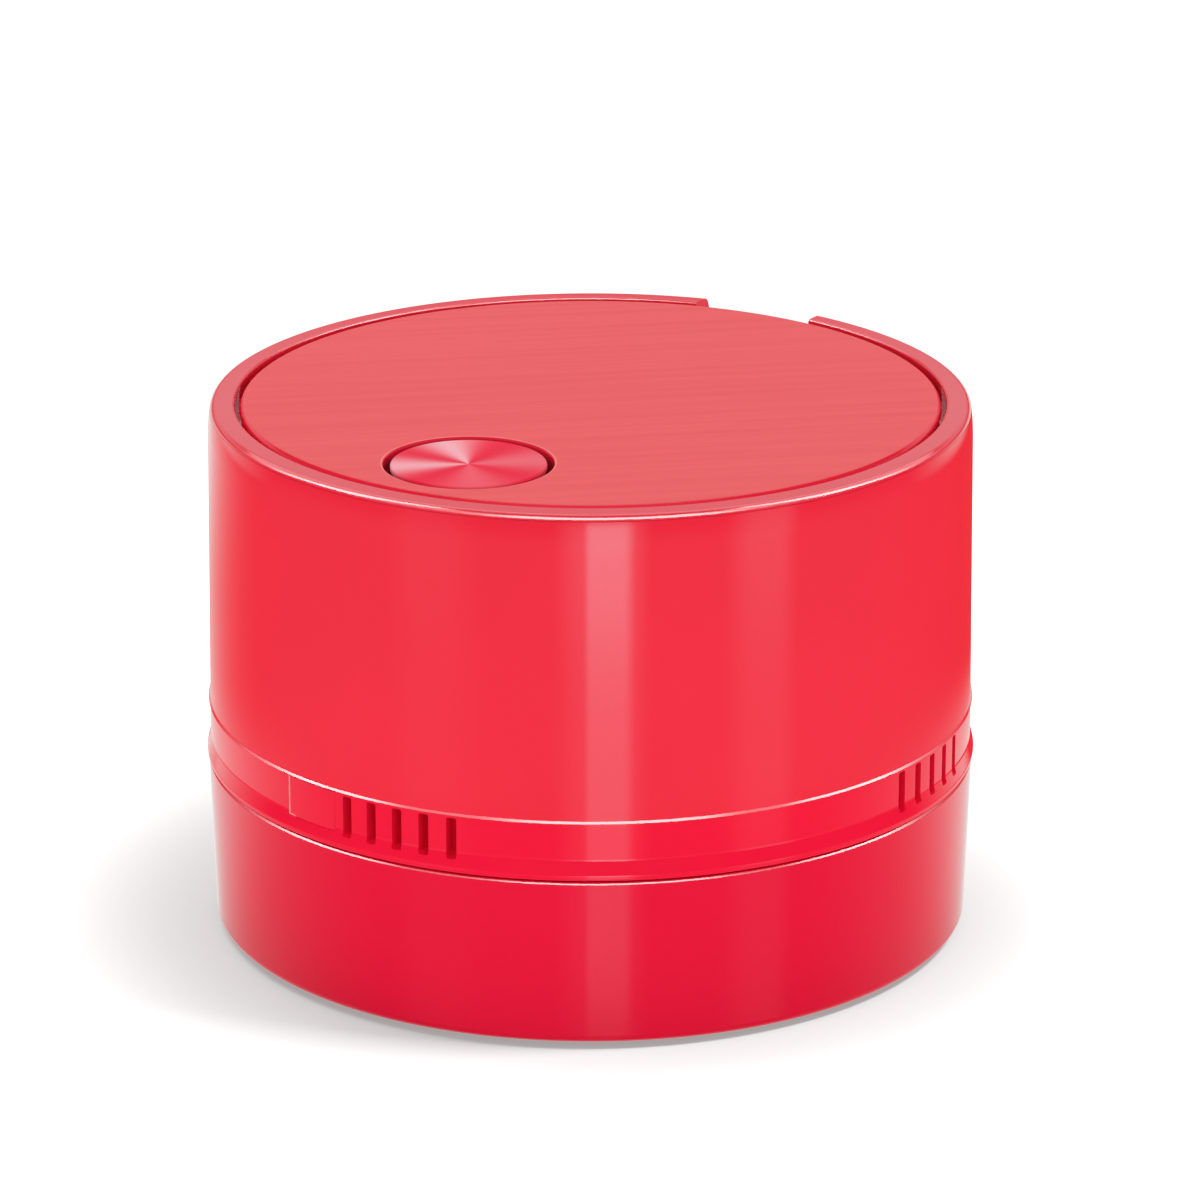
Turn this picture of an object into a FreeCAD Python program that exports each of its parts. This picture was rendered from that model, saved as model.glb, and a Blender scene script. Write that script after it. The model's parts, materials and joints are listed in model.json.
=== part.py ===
import FreeCAD, Part

import math
import os

import Sketcher

# Desktop mini vacuum cleaner: a round, battery driven desk sweeper, in millimetres.
#
# Frame: +Z up, origin on the desk under the middle of the base, front (the button's side) at -Y.
# From the desk up: the dust cup with its base plate, inlet chimney and filter, the vent band with the fan,
# the tall outer shell with the motor between two cells, and the lift-off cover with the button.
# Angles "from the front" are measured round the axis from -Y towards +X.

Vector = FreeCAD.Vector
UP = Vector(0, 0, 1)
PAST = 1.0  # how far a cutting tool runs past the face it cuts through

DIMENSIONS = (
    ("foot_proud", 0.6, "glide feet below the base's edge"),
    ("foot_radius", 3.2, "glide foot"),
    ("foot_sink", 0.6, "depth of a foot's seat in the base"),
    ("foot_ring", 36.5, "radius of the circle that the feet lie on"),
    ("base_foot_radius", 43.0, "dust cup's outer radius at its bottom edge"),
    ("base_head_radius", 43.6, "dust cup's outer radius at its top edge"),
    ("base_top", 19.7, "top edge of the dust cup"),
    ("cup_wall", 1.7, "wall of the dust cup"),
    ("cup_floor", 1.5, "floor of the dust cup"),
    ("recess_radius", 30.0, "round recess under the dust cup"),
    ("recess_top", 6.6, "ceiling of that recess"),
    ("mouth_radius", 9.5, "suction mouth and chimney bore"),
    ("chimney_wall", 1.4, "wall of the chimney"),
    ("chimney_top", 10.4, "top of the chimney inside the cup"),
    ("filter_seat", 14.5, "height of the ledge that carries the filter"),
    ("filter_seat_radius", 39.6, "inner radius of that ledge"),
    ("filter_radius", 41.2, "filter frame's outer radius"),
    ("filter_clear_radius", 37.0, "filter frame's inner radius"),
    ("filter_height", 1.8, "filter frame's height"),
    ("brush_ring", 24.5, "radius of the circle of bristle tufts"),
    ("brush_plate_radius", 27.5, "plate that holds the tufts"),
    ("brush_plate_height", 1.4, "thickness of that plate"),
    ("tuft_radius", 1.0, "one bristle tuft"),
    ("tuft_clear", 0.1, "tuft tips above the desk"),
    ("brush_screw_ring", 15.5, "radius of the brush plate's screw circle"),
    ("joint_gap", 0.25, "gap between dust cup and vent band"),
    ("lip_radius", 43.75, "lip at the foot of the vent band"),
    ("lip_height", 1.1, "floor of the vent band above its bottom edge"),
    ("lip_upright", 0.6, "upright part of the lip"),
    ("flare_height", 2.2, "height above the bottom edge where the band flares out to its lip"),
    ("band_radius", 43.35, "vent band"),
    ("band_wall", 1.95, "wall of the vent band"),
    ("band_top", 26.4, "top of the vent band, where the shell begins"),
    ("slot_width", 1.2, "vent slot"),
    ("slot_bottom", 21.4, "lower end of a slot"),
    ("slot_top", 26.1, "upper end of a slot"),
    ("eye_radius", 11.0, "air inlet in the fan's floor plate"),
    ("spigot_radius", 41.35, "spigots of the band, up into the shell and down into the cup"),
    ("spigot_inner", 40.0, "bore of the upper spigot"),
    ("spigot_top", 29.6, "top of the upper spigot"),
    ("spigot_bottom", 17.3, "bottom of the lower spigot"),
    ("shell_radius", 43.45, "outer shell at its bottom edge"),
    ("rim_radius", 42.8, "outer shell at its rim"),
    ("rim_top", 61.1, "top of the rim"),
    ("shell_wall", 1.8, "wall of the outer shell"),
    ("rim_inner", 39.95, "opening of the rim"),
    ("rim_round", 0.8, "rounding of the rim's outer edge"),
    ("ledge_inner", 37.0, "ledge that carries the cover"),
    ("ledge_thick", 1.5, "thickness of that ledge"),
    ("notch_half", 7.6, "half width of the fingernail notch in the rim"),
    ("notch_deep", 3.2, "depth of that notch"),
    ("cover_radius", 39.4, "top cover"),
    ("cover_drop", 0.1, "cover's face below the rim"),
    ("plate_thick", 0.8, "brushed plate"),
    ("cover_thick", 1.4, "moulded cover under the plate"),
    ("cover_round", 0.6, "rounding of the plate's edge"),
    ("button_place", 27.3, "distance of the button in front of the middle"),
    ("button_hole", 9.3, "radius of the hole in the cover"),
    ("button_radius", 8.55, "button's metal face"),
    ("button_travel", 1.5, "travel of the button"),
    ("button_sink", 0.2, "button's face below the rim"),
    ("face_thick", 0.6, "thickness of the button's metal face"),
    ("cap_radius", 7.75, "moulded button in its guide"),
    ("guide_bore", 7.9, "bore of the guide"),
    ("guide_chamber", 8.5, "wider part of the guide, for the button's collar"),
    ("guide_radius", 9.4, "outside of the guide"),
    ("cell_radius", 7.1, "cell"),
    ("cell_length", 50.5, "cell with its nub"),
    ("cell_place", 21.5, "distance of a cell's axis from the middle"),
    ("cell_height", 47.0, "height of the cells' axes"),
    ("bay_half", 27.6, "half length of a cell bay"),
    ("bay_wall", 1.2, "end wall and trough wall of a cell bay"),
    ("trough_radius", 7.4, "cell trough"),
    ("tray_radius", 40.6, "battery tray"),
    ("tray_bottom", 44.6, "underside of the battery tray"),
    ("tray_thick", 1.4, "thickness of the battery tray"),
    ("deck_radius", 39.6, "fan deck"),
    ("deck_bottom", 28.6, "underside of the fan deck"),
    ("deck_thick", 1.4, "thickness of the fan deck"),
    ("post_ring", 35.8, "radius of the circle of screw posts"),
    ("post_radius", 3.0, "screw post"),
    ("tray_post_place", 35.4, "tray posts, left and right of the middle"),
    ("motor_radius", 12.0, "motor can"),
    ("motor_length", 20.0, "length of the motor can"),
    ("motor_wall", 0.8, "wall of the motor can"),
    ("shaft_radius", 1.0, "motor shaft"),
    ("bush_clear", 0.03, "running clearance of the shaft in its bushes"),
    ("impeller_radius", 30.0, "impeller"),
    ("impeller_plate", 1.0, "back plate of the impeller"),
    ("blade_height", 4.4, "impeller blade"),
    ("blade_thick", 1.0, "impeller blade"),
    ("flap_left", -20.9, "flap's free edge, degrees from the front"),
    ("flap_right", -11.0, "flap's hinge edge, degrees from the front"),
    ("flap_bottom", 21.7, "lower edge of the port flap"),
    ("flap_thick", 1.2, "thickness of the port flap"),
    ("flap_gap", 0.15, "gap round the port flap"),
    ("lead_radius", 0.6, "insulated wire"),
    ("spring_wire", 0.3, "wire of the coil springs"),
    ("screw_radius", 0.95, "thread of a case screw, and its pilot hole"),
    ("screw_head", 2.1, "head of a case screw"),
    ("screw_way", 1.4, "clearance hole of a case screw"),
    ("tray_post_radius", 2.6, "post under the battery tray"),
    ("motor_screw_place", 8.0, "sunk screws that hold the motor, left and right of its axis"),
    ("motor_screw_radius", 0.9, "thread of those screws"),
    ("motor_screw_head", 1.8, "sunk head of those screws"),
    ("front_bush_radius", 3.4, "front bearing bush"),
    ("rear_bush_radius", 2.6, "rear bearing bush"),
    ("end_cap_thick", 2.6, "motor end cap"),
    ("terminal_place", 8.5, "motor terminals, left and right of the axis"),
    ("tab_above", 8.5, "top of the battery contacts above the cells' axes"),
    ("knuckle_radius", 0.75, "hinge knuckle of the port flap"),
    ("pin_radius", 0.35, "hinge pin of the port flap"),
    ("hinge_inset", 1.2, "hinge pin from the flap's right edge, degrees"),
    ("board_drop", 2.0, "charging board under the fan deck"),
)


class Size:
    """A length: its number, and the sheet expression that gives it."""

    def __init__(self, text, number):
        self.text = text
        self.number = number

    def __add__(self, other):
        return joined(self, "+", other, self.number + as_size(other).number)

    def __sub__(self, other):
        return joined(self, "-", other, self.number - as_size(other).number)

    def __mul__(self, other):
        return joined(self, "*", other, self.number * as_size(other).number)

    def __truediv__(self, other):
        return joined(self, "/", other, self.number / as_size(other).number)

    def __neg__(self):
        return as_size(0) - self

    def __radd__(self, other):
        return as_size(other) + self

    def __rsub__(self, other):
        return as_size(other) - self

    def __rmul__(self, other):
        return as_size(other) * self


def as_size(value):
    """Give a plain number the form of a Size."""
    if isinstance(value, Size):
        return value
    return Size("%.6f" % value, float(value))


def joined(left, sign, right, number):
    """Join two sizes into one expression."""
    return Size("(%s %s %s)" % (left.text, sign, as_size(right).text), number)


class Dimensions:
    """The driving dimensions, each a Size that reads its cell in the sheet."""


doc = FreeCAD.newDocument("desk_vacuum")
sheet = doc.addObject("Spreadsheet::Sheet", "dims")
d = Dimensions()
for row, (alias, value, meaning) in enumerate(DIMENSIONS, 1):
    sheet.set("A%d" % row, alias)
    sheet.set("B%d" % row, str(value))
    sheet.set("C%d" % row, meaning)
    sheet.setAlias("B%d" % row, alias)
    setattr(d, alias, Size("dims." + alias, value))
doc.recompute()

# Levels and places that several pieces share.
base_bottom = d.foot_proud
lip_bottom = d.base_top + d.joint_gap
lip_top = lip_bottom + d.lip_height
cover_top = d.rim_top - d.cover_drop
plate_bottom = cover_top - d.plate_thick
ledge_top = plate_bottom - d.cover_thick
ledge_bottom = ledge_top - d.ledge_thick
deck_top = d.deck_bottom + d.deck_thick
tray_top = d.tray_bottom + d.tray_thick
can_top = deck_top + d.motor_length
button_y = -d.button_place
guide_floor = tray_top + 3.8
guide_ceiling = tray_top + 7.55
recess_floor = d.recess_top + d.cup_floor - 0.1
cap_top = can_top + d.end_cap_thick
contact_place = d.bay_half - 0.3
pin_bottom = lip_bottom + 0.5
port_angle = (d.flap_left + d.flap_right).number / 2 - 90
diagonals = (45, 135, 225, 315)
brush_screw_angles = (90, 210, 330)

subparts = []


def subpart(name, thing):
    """Name a finished sub-part and keep it for export."""
    thing.Label = name
    subparts.append(thing)
    return thing


def bind(thing, prop, size):
    """Tie a property to the sheet."""
    thing.setExpression(prop, as_size(size).text)


def place(thing, x, y, z, turn=None):
    """Put a shape at a point, turned first where a rotation is given."""
    if turn is not None:
        thing.Placement = FreeCAD.Placement(Vector(), turn)
    bind(thing, "Placement.Base.x", x)
    bind(thing, "Placement.Base.y", y)
    bind(thing, "Placement.Base.z", z)


def cosine(degrees):
    return math.cos(math.radians(degrees))


def sine(degrees):
    return math.sin(math.radians(degrees))


def cylinder(radius, bottom, top, x=0, y=0):
    """An upright cylinder."""
    solid = doc.addObject("Part::Cylinder", "cylinder")
    bind(solid, "Radius", radius)
    bind(solid, "Height", top - bottom)
    place(solid, x, y, bottom)
    return solid


def lying_cylinder(radius, front, back, x, z):
    """A cylinder along Y."""
    solid = doc.addObject("Part::Cylinder", "lying_cylinder")
    bind(solid, "Radius", radius)
    bind(solid, "Height", back - front)
    place(solid, x, front, z, FreeCAD.Rotation(Vector(1, 0, 0), -90))
    return solid


def cone(low_radius, high_radius, bottom, top, x=0, y=0):
    """An upright cone with both ends cut flat."""
    solid = doc.addObject("Part::Cone", "cone")
    bind(solid, "Radius1", low_radius)
    bind(solid, "Radius2", high_radius)
    bind(solid, "Height", top - bottom)
    place(solid, x, y, bottom)
    return solid


def box(left, right, front, back, bottom, top):
    """A box from its six faces."""
    solid = doc.addObject("Part::Box", "box")
    bind(solid, "Length", right - left)
    bind(solid, "Width", back - front)
    bind(solid, "Height", top - bottom)
    place(solid, left, front, bottom)
    return solid


def spoke(angle, inner, outer, width, bottom, top):
    """A box that points outwards from the axis, at a polar angle in degrees."""
    solid = doc.addObject("Part::Box", "spoke")
    bind(solid, "Length", outer - inner)
    bind(solid, "Width", width)
    bind(solid, "Height", top - bottom)
    x = inner * cosine(angle) + width * (sine(angle) / 2)
    y = inner * sine(angle) - width * (cosine(angle) / 2)
    place(solid, x, y, bottom, FreeCAD.Rotation(UP, angle))
    return solid


def cut(base, *tools):
    """Base without the tools."""
    result = doc.addObject("Part::Cut", "cut")
    result.Base = base
    result.Tool = tools[0] if len(tools) == 1 else fuse(*tools)
    return result


def fuse(*parts):
    """Several shapes made into one."""
    result = doc.addObject("Part::MultiFuse", "fusion")
    result.Shapes = list(parts)
    return result


def common(first, second):
    """What two shapes share."""
    result = doc.addObject("Part::MultiCommon", "shared")
    result.Shapes = [first, second]
    return result


def group(*parts):
    """Identical pieces kept as separate solids of one sub-part."""
    result = doc.addObject("Part::Compound", "group")
    result.Links = list(parts)
    return result


def tube(outer, inner, bottom, top, x=0, y=0):
    """An upright tube."""
    return cut(cylinder(outer, bottom, top, x, y), cylinder(inner, bottom - PAST, top + PAST, x, y))


def sector(outer, inner, bottom, top, start, sweep):
    """A piece of a tube that starts at a polar angle and sweeps on from there, in degrees."""
    pie = cylinder(outer, bottom, top)
    pie.Placement = FreeCAD.Placement(Vector(), FreeCAD.Rotation(UP, as_size(start).number))
    bind(pie, "Angle", sweep)
    return cut(pie, cylinder(inner, bottom - PAST, top + PAST))


def ring_places(radius, angles):
    """Points on a circle round the axis, at polar angles."""
    return [(radius * cosine(angle), radius * sine(angle)) for angle in angles]


def sketch_on(body, role):
    """A sketch on one of a body's own origin planes."""
    sketch = body.newObject("Sketcher::SketchObject", body.Name + "_sketch")
    plane = next(o for o in body.Origin.OriginFeatures if o.Role == role)
    sketch.AttachmentSupport = [(plane, "")]
    sketch.MapMode = "FlatFace"
    return sketch


def fix_point(sketch, geometry, position, x, y):
    """Hold a sketch point at two sizes from the sketch's origin."""
    for kind, size in (("DistanceX", x), ("DistanceY", y)):
        held = Sketcher.Constraint(kind, -1, 1, geometry, position, as_size(size).number)
        bind(sketch, "Constraints[%d]" % sketch.addConstraint(held), size)


def polygon(sketch, corners):
    """Draw a closed outline whose corners are tied to the sheet."""
    points = [Vector(as_size(x).number, as_size(y).number, 0) for x, y in corners]
    count = len(points)
    for i in range(count):
        sketch.addGeometry(Part.LineSegment(points[i], points[(i + 1) % count]), False)
    for i in range(count):
        sketch.addConstraint(Sketcher.Constraint("Coincident", i, 2, (i + 1) % count, 1))
    for i, (x, y) in enumerate(corners):
        fix_point(sketch, i, 1, x, y)


def revolved(name, outline):
    """A body turned about its own Z axis from an outline of (radius, height) corners."""
    body = doc.addObject("PartDesign::Body", name)
    sketch = sketch_on(body, "XZ_Plane")
    polygon(sketch, outline)
    turned = body.newObject("PartDesign::Revolution", name + "_turned")
    turned.Profile = sketch
    turned.ReferenceAxis = (sketch, ["V_Axis"])
    turned.Angle = 360
    doc.recompute()
    return body


def is_ring(edge, radius, height):
    """Whether an edge is a circle of this radius at this height."""
    if not isinstance(edge.Curve, Part.Circle):
        return False
    return abs(edge.Curve.Radius - radius) < 1e-4 and abs(edge.Curve.Center.z - height) < 1e-4


def round_ring(body, radius, height, amount):
    """Round a body's circular edges of one radius and height."""
    base = body.Tip
    wanted = (as_size(radius).number, as_size(height).number)
    names = ["Edge%d" % i for i, edge in enumerate(base.Shape.Edges, 1) if is_ring(edge, *wanted)]
    if not names:
        raise RuntimeError("%s has no edge of radius %g at height %g" % ((body.Name,) + wanted))
    rounding = body.newObject("PartDesign::Fillet", body.Name + "_round")
    rounding.Base = (base, names)
    bind(rounding, "Radius", amount)
    body.Tip = rounding
    doc.recompute()


def pocket(body, role, draw, length, reverse):
    """Cut a drawn outline into a body, and check that it does cut."""
    before = body.Shape.Volume
    sketch = sketch_on(body, role)
    draw(sketch)
    hole = body.newObject("PartDesign::Pocket", body.Name + "_pocket")
    hole.Profile = sketch
    hole.Reversed = reverse
    bind(hole, "Length", length)
    body.Tip = hole
    doc.recompute()
    if body.Shape.Volume >= before:
        raise RuntimeError("a pocket in %s cuts nothing" % body.Name)


def circle_at(x, y, radius):
    """A drawing function for a pocket: one circle tied to the sheet."""
    def draw(sketch):
        centre = Vector(as_size(x).number, as_size(y).number, 0)
        index = sketch.addGeometry(Part.Circle(centre, UP, as_size(radius).number), False)
        fix_point(sketch, index, 3, x, y)
        held = Sketcher.Constraint("Radius", index, as_size(radius).number)
        bind(sketch, "Constraints[%d]" % sketch.addConstraint(held), radius)
    return draw


def screw(head_radius, head_bottom, head_top, shank_radius, shank_bottom, shank_top, x, y):
    """A pan head screw, either way up."""
    head = cylinder(head_radius, head_bottom, head_top, x, y)
    shank = cylinder(shank_radius, shank_bottom, shank_top, x, y)
    return fuse(head, shank)


def swept_wire(route, radius):
    """A round wire through a list of points: straight runs joined by the largest arcs that fit."""
    share = 0.45  # part of the shorter run that an arc takes up at its corner
    edges = []
    start = route[0]
    for before, corner, after in zip(route, route[1:], route[2:]):
        back = (before - corner).normalize()
        ahead = (after - corner).normalize()
        half_turn = (math.pi - back.getAngle(ahead)) / 2
        reach = share * min((before - corner).Length, (after - corner).Length)
        bend = reach / math.tan(half_turn)
        first = corner + back * reach
        last = corner + ahead * reach
        inward = (back + ahead).normalize()
        middle = corner + inward * (bend / math.cos(half_turn) - bend)
        edges.append(Part.LineSegment(start, first).toShape())
        edges.append(Part.Arc(first, middle, last).toShape())
        start = last
    edges.append(Part.LineSegment(start, route[-1]).toShape())
    profile = Part.Circle(route[0], route[1] - route[0], radius.number)
    return Part.Wire(edges).makePipe(Part.Face(Part.Wire(profile.toShape())))


def coil(radius, bottom, top, turns, x, y):
    """A coil spring that stands upright, its helix drawn by many short steps."""
    steps_per_turn = 12
    steps = turns * steps_per_turn
    rise = (top - bottom - d.spring_wire * 2).number / steps
    route = []
    for i in range(steps + 1):
        angle = i * 360 / steps_per_turn
        route.append(Vector(radius * cosine(angle), radius * sine(angle), rise * i))
    spring = doc.addObject("Part::Feature", "coil")
    spring.Shape = swept_wire(route, d.spring_wire)
    place(spring, x, y, bottom + d.spring_wire)
    return spring


def lead(name, points):
    """An insulated wire through a list of places."""
    route = [Vector(*(as_size(value).number for value in point)) for point in points]
    wire = doc.addObject("Part::Feature", name)
    wire.Shape = swept_wire(route, d.lead_radius)
    return subpart(name, wire)


# ---------------------------------------------------------------- outer shell and cover

def make_outer_shell():
    inner_low = d.shell_radius - d.shell_wall
    inner_high = d.rim_radius - d.shell_wall
    gusset_slope = 0.7
    shell = revolved("outer_shell_body", [
        (d.shell_radius, d.band_top),
        (d.rim_radius, d.rim_top),
        (d.rim_inner, d.rim_top),
        (d.rim_inner, ledge_top),
        (d.ledge_inner, ledge_top),
        (d.ledge_inner, ledge_bottom),
        (inner_high, ledge_bottom - (inner_high - d.ledge_inner) * gusset_slope),
        (inner_low, d.band_top),
    ])
    inner_round = 0.3
    foot_round = 0.35
    round_ring(shell, d.rim_radius, d.rim_top, d.rim_round)
    round_ring(shell, d.rim_inner, d.rim_top, inner_round)
    round_ring(shell, d.shell_radius, d.band_top, foot_round)
    notch_floor = d.rim_top - d.notch_deep
    end_slope = 0.6

    def draw_notch(sketch):
        polygon(sketch, [
            (-(d.notch_half - end_slope), notch_floor),
            (d.notch_half - end_slope, notch_floor),
            (d.notch_half, d.rim_top + PAST),
            (-d.notch_half, d.rim_top + PAST),
        ])

    pocket(shell, "XZ_Plane", draw_notch, d.shell_radius + PAST, False)
    boss_top = deck_top + 8
    web_thick = 1.6
    web_end = d.rim_radius - d.shell_wall / 2
    pilot_end = boss_top - 1
    pieces = [shell]
    pilots = []
    for angle, (x, y) in zip(diagonals, ring_places(d.post_ring, diagonals)):
        pieces.append(cylinder(d.post_radius, deck_top, boss_top, x, y))
        pieces.append(spoke(angle, d.post_ring, web_end, web_thick, deck_top, boss_top))
        pilots.append(cylinder(d.screw_radius, deck_top - PAST, pilot_end, x, y))
    subpart("outer_shell", cut(fuse(*pieces), *pilots))


def make_cover():
    hole_round = 0.3
    plate = revolved("cover_plate_body", [
        (0, plate_bottom),
        (d.cover_radius, plate_bottom),
        (d.cover_radius, cover_top),
        (0, cover_top),
    ])
    round_ring(plate, d.cover_radius, cover_top, d.cover_round)
    pocket(plate, "XY_Plane", circle_at(0, button_y, d.button_hole), d.rim_top + PAST, True)
    round_ring(plate, d.button_hole, cover_top, hole_round)
    subpart("cover_plate", plate)

    disc = cylinder(d.cover_radius - 0.2, ledge_top, plate_bottom)
    hole = cylinder(d.button_hole, ledge_top - PAST, plate_bottom + PAST, 0, button_y)
    tab_outer = d.ledge_inner - 0.3
    tab_inner = tab_outer - 1.2
    tab_width = 8
    tab_bottom = ledge_bottom - 1.9
    catch_inner = tab_outer - 0.3
    catch_outer = tab_outer + 0.2
    catch_width = 6
    catch_height = 1
    pieces = [disc]
    for angle in (0, 60, 120, 180):
        pieces.append(spoke(angle, tab_inner, tab_outer, tab_width, tab_bottom, ledge_top))
        pieces.append(spoke(angle, catch_inner, catch_outer, catch_width, tab_bottom,
                            tab_bottom + catch_height))
    rib_place = 12
    rib_half = 0.6
    rib_front = -14
    rib_back = 24
    rib_deep = 1.6
    for x in (-rib_place, rib_place):
        pieces.append(box(x - rib_half, x + rib_half, rib_front, rib_back, ledge_top - rib_deep, ledge_top))
    subpart("cover_body", cut(fuse(*pieces), hole))


# ---------------------------------------------------------------- button and switch

def make_button():
    face_top = d.rim_top - d.button_sink
    face_bottom = face_top - d.face_thick
    face_round = 0.3
    face = revolved("button_disc_body", [
        (0, face_bottom),
        (d.button_radius, face_bottom),
        (d.button_radius, face_top),
        (0, face_top),
    ])
    round_ring(face, d.button_radius, face_top, face_round)
    place(face, 0, button_y, 0)
    subpart("button_disc", face)

    skirt_bottom = guide_floor + d.button_travel + 0.7
    collar_top = guide_ceiling - 0.05
    head_bottom = face_bottom - 1.5
    skirt_inner = d.cap_radius - 1.2
    collar_radius = d.guide_chamber - 0.2
    cap = revolved("button_cap_body", [
        (0, head_bottom),
        (skirt_inner, head_bottom),
        (skirt_inner, skirt_bottom),
        (collar_radius, skirt_bottom),
        (collar_radius, collar_top),
        (d.cap_radius, collar_top),
        (d.cap_radius, face_bottom),
        (0, face_bottom),
    ])
    place(cap, 0, button_y, 0)
    subpart("button_cap", cap)

    floor_thick = 1.2
    guide_top = ledge_top - 0.4
    stem_hole = 2.0
    pocket_radius = 7.5
    guide = revolved("button_guide_body", [
        (d.guide_radius, tray_top),
        (d.guide_radius, guide_top),
        (d.guide_bore, guide_top),
        (d.guide_bore, guide_ceiling),
        (d.guide_chamber, guide_ceiling),
        (d.guide_chamber, guide_floor),
        (stem_hole, guide_floor),
        (stem_hole, guide_floor - floor_thick),
        (pocket_radius, guide_floor - floor_thick),
        (pocket_radius, tray_top),
    ])
    place(guide, 0, button_y, 0)
    subpart("button_guide", guide)

    stem_radius = 1.5
    stem_bottom = guide_floor - 2.8
    spring_radius = 3.4
    spring_turns = 5
    subpart("switch_plunger", cylinder(stem_radius, stem_bottom, head_bottom, 0, button_y))
    subpart("button_spring", coil(spring_radius, guide_floor, head_bottom, spring_turns, 0, button_y))

    half = 4.1
    body_top = guide_floor - floor_thick
    body_bottom = body_top - 8.1
    bore_deep = 4.1
    block = box(-half, half, button_y - half, button_y + half, body_bottom, body_top)
    bore = cylinder(stem_radius + 0.2, body_top - bore_deep, body_top + PAST, 0, button_y)
    pin_wide = 0.3
    pin_thick = 0.2
    pin_long = 2.5
    pins = []
    for x in (-2.5, 2.5):
        for y in (button_y - 2, button_y + 2):
            pins.append(box(x - pin_wide, x + pin_wide, y - pin_thick, y + pin_thick,
                            body_bottom - pin_long, body_bottom))
    subpart("switch_body", fuse(cut(block, bore), *pins))


# ---------------------------------------------------------------- cells and their tray

def make_battery_tray():
    wall = d.bay_wall
    end = d.bay_half + wall
    top = d.cell_height + 7
    bay_side = d.cell_place + 9
    below = d.tray_bottom - 8
    motor_hole = d.motor_radius + 1
    screw_slack = 1.3
    wire_hole = 1.6
    wire_hole_x = 9.5
    wire_hole_y = 21
    switch_room = 4.2
    plate = cylinder(d.tray_radius, d.tray_bottom, tray_top)
    pieces = [plate]
    hollows = [
        box(-bay_side, bay_side, -d.bay_half, d.bay_half, tray_top, top + PAST),
        cylinder(motor_hole, below, top + PAST),
        box(-switch_room, switch_room, button_y - switch_room, button_y + switch_room,
            d.tray_bottom - PAST, tray_top + PAST),
    ]
    for side in (-1, 1):
        x = d.cell_place * side
        pieces.append(lying_cylinder(d.trough_radius + wall, -end, end, x, d.cell_height))
        for near, far in ((-end, -d.bay_half), (d.bay_half, end)):
            pieces.append(box(x - d.trough_radius, x + d.trough_radius, near, far, d.tray_bottom, top))
        hollows.append(lying_cylinder(d.trough_radius, -d.bay_half, d.bay_half, x, d.cell_height))
        hollows.append(cylinder(screw_slack, d.tray_bottom - PAST, tray_top + PAST,
                                d.tray_post_place * side, 0))
        hollows.append(cylinder(wire_hole, d.tray_bottom - PAST, tray_top + PAST,
                                wire_hole_x * side, wire_hole_y))
    trim = cylinder(d.tray_radius, below, top)
    subpart("battery_tray", common(cut(fuse(*pieces), *hollows), trim))


def make_cell(name, x, nub_end):
    nub_length = 1.0
    nub_radius = 2.75
    foot = contact_place - d.cell_length
    shoulder = contact_place - nub_length
    if nub_end > 0:
        body = lying_cylinder(d.cell_radius, foot, shoulder, x, d.cell_height)
        nub = lying_cylinder(nub_radius, shoulder, contact_place, x, d.cell_height)
    else:
        body = lying_cylinder(d.cell_radius, -shoulder, -foot, x, d.cell_height)
        nub = lying_cylinder(nub_radius, -contact_place, -shoulder, x, d.cell_height)
    subpart(name, fuse(body, nub))


def make_battery_contacts():
    plate_half = 5
    plate_low = d.cell_height - 5
    plate_high = d.cell_height + 6.5
    tab_half = 1.5
    spring_radius = 3.4
    spring_turns = 3
    spring_room = contact_place * 2 - d.cell_length
    plates = []
    springs = []
    for side in (-1, 1):
        x = d.cell_place * side
        for near, far in ((-d.bay_half, -contact_place), (contact_place, d.bay_half)):
            plates.append(fuse(
                box(x - plate_half, x + plate_half, near, far, plate_low, plate_high),
                box(x - tab_half, x + tab_half, near, far, plate_high, d.cell_height + d.tab_above),
            ))
        spring = coil(spring_radius, 0, spring_room, spring_turns, 0, 0)
        lying = FreeCAD.Rotation(Vector(1, 0, 0), -90 * side)
        foot = (contact_place - spring_room + d.spring_wire) * side
        place(spring, x, foot, d.cell_height, lying)
        springs.append(spring)
    subpart("battery_contacts", group(*plates))
    subpart("battery_springs", group(*springs))


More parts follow.
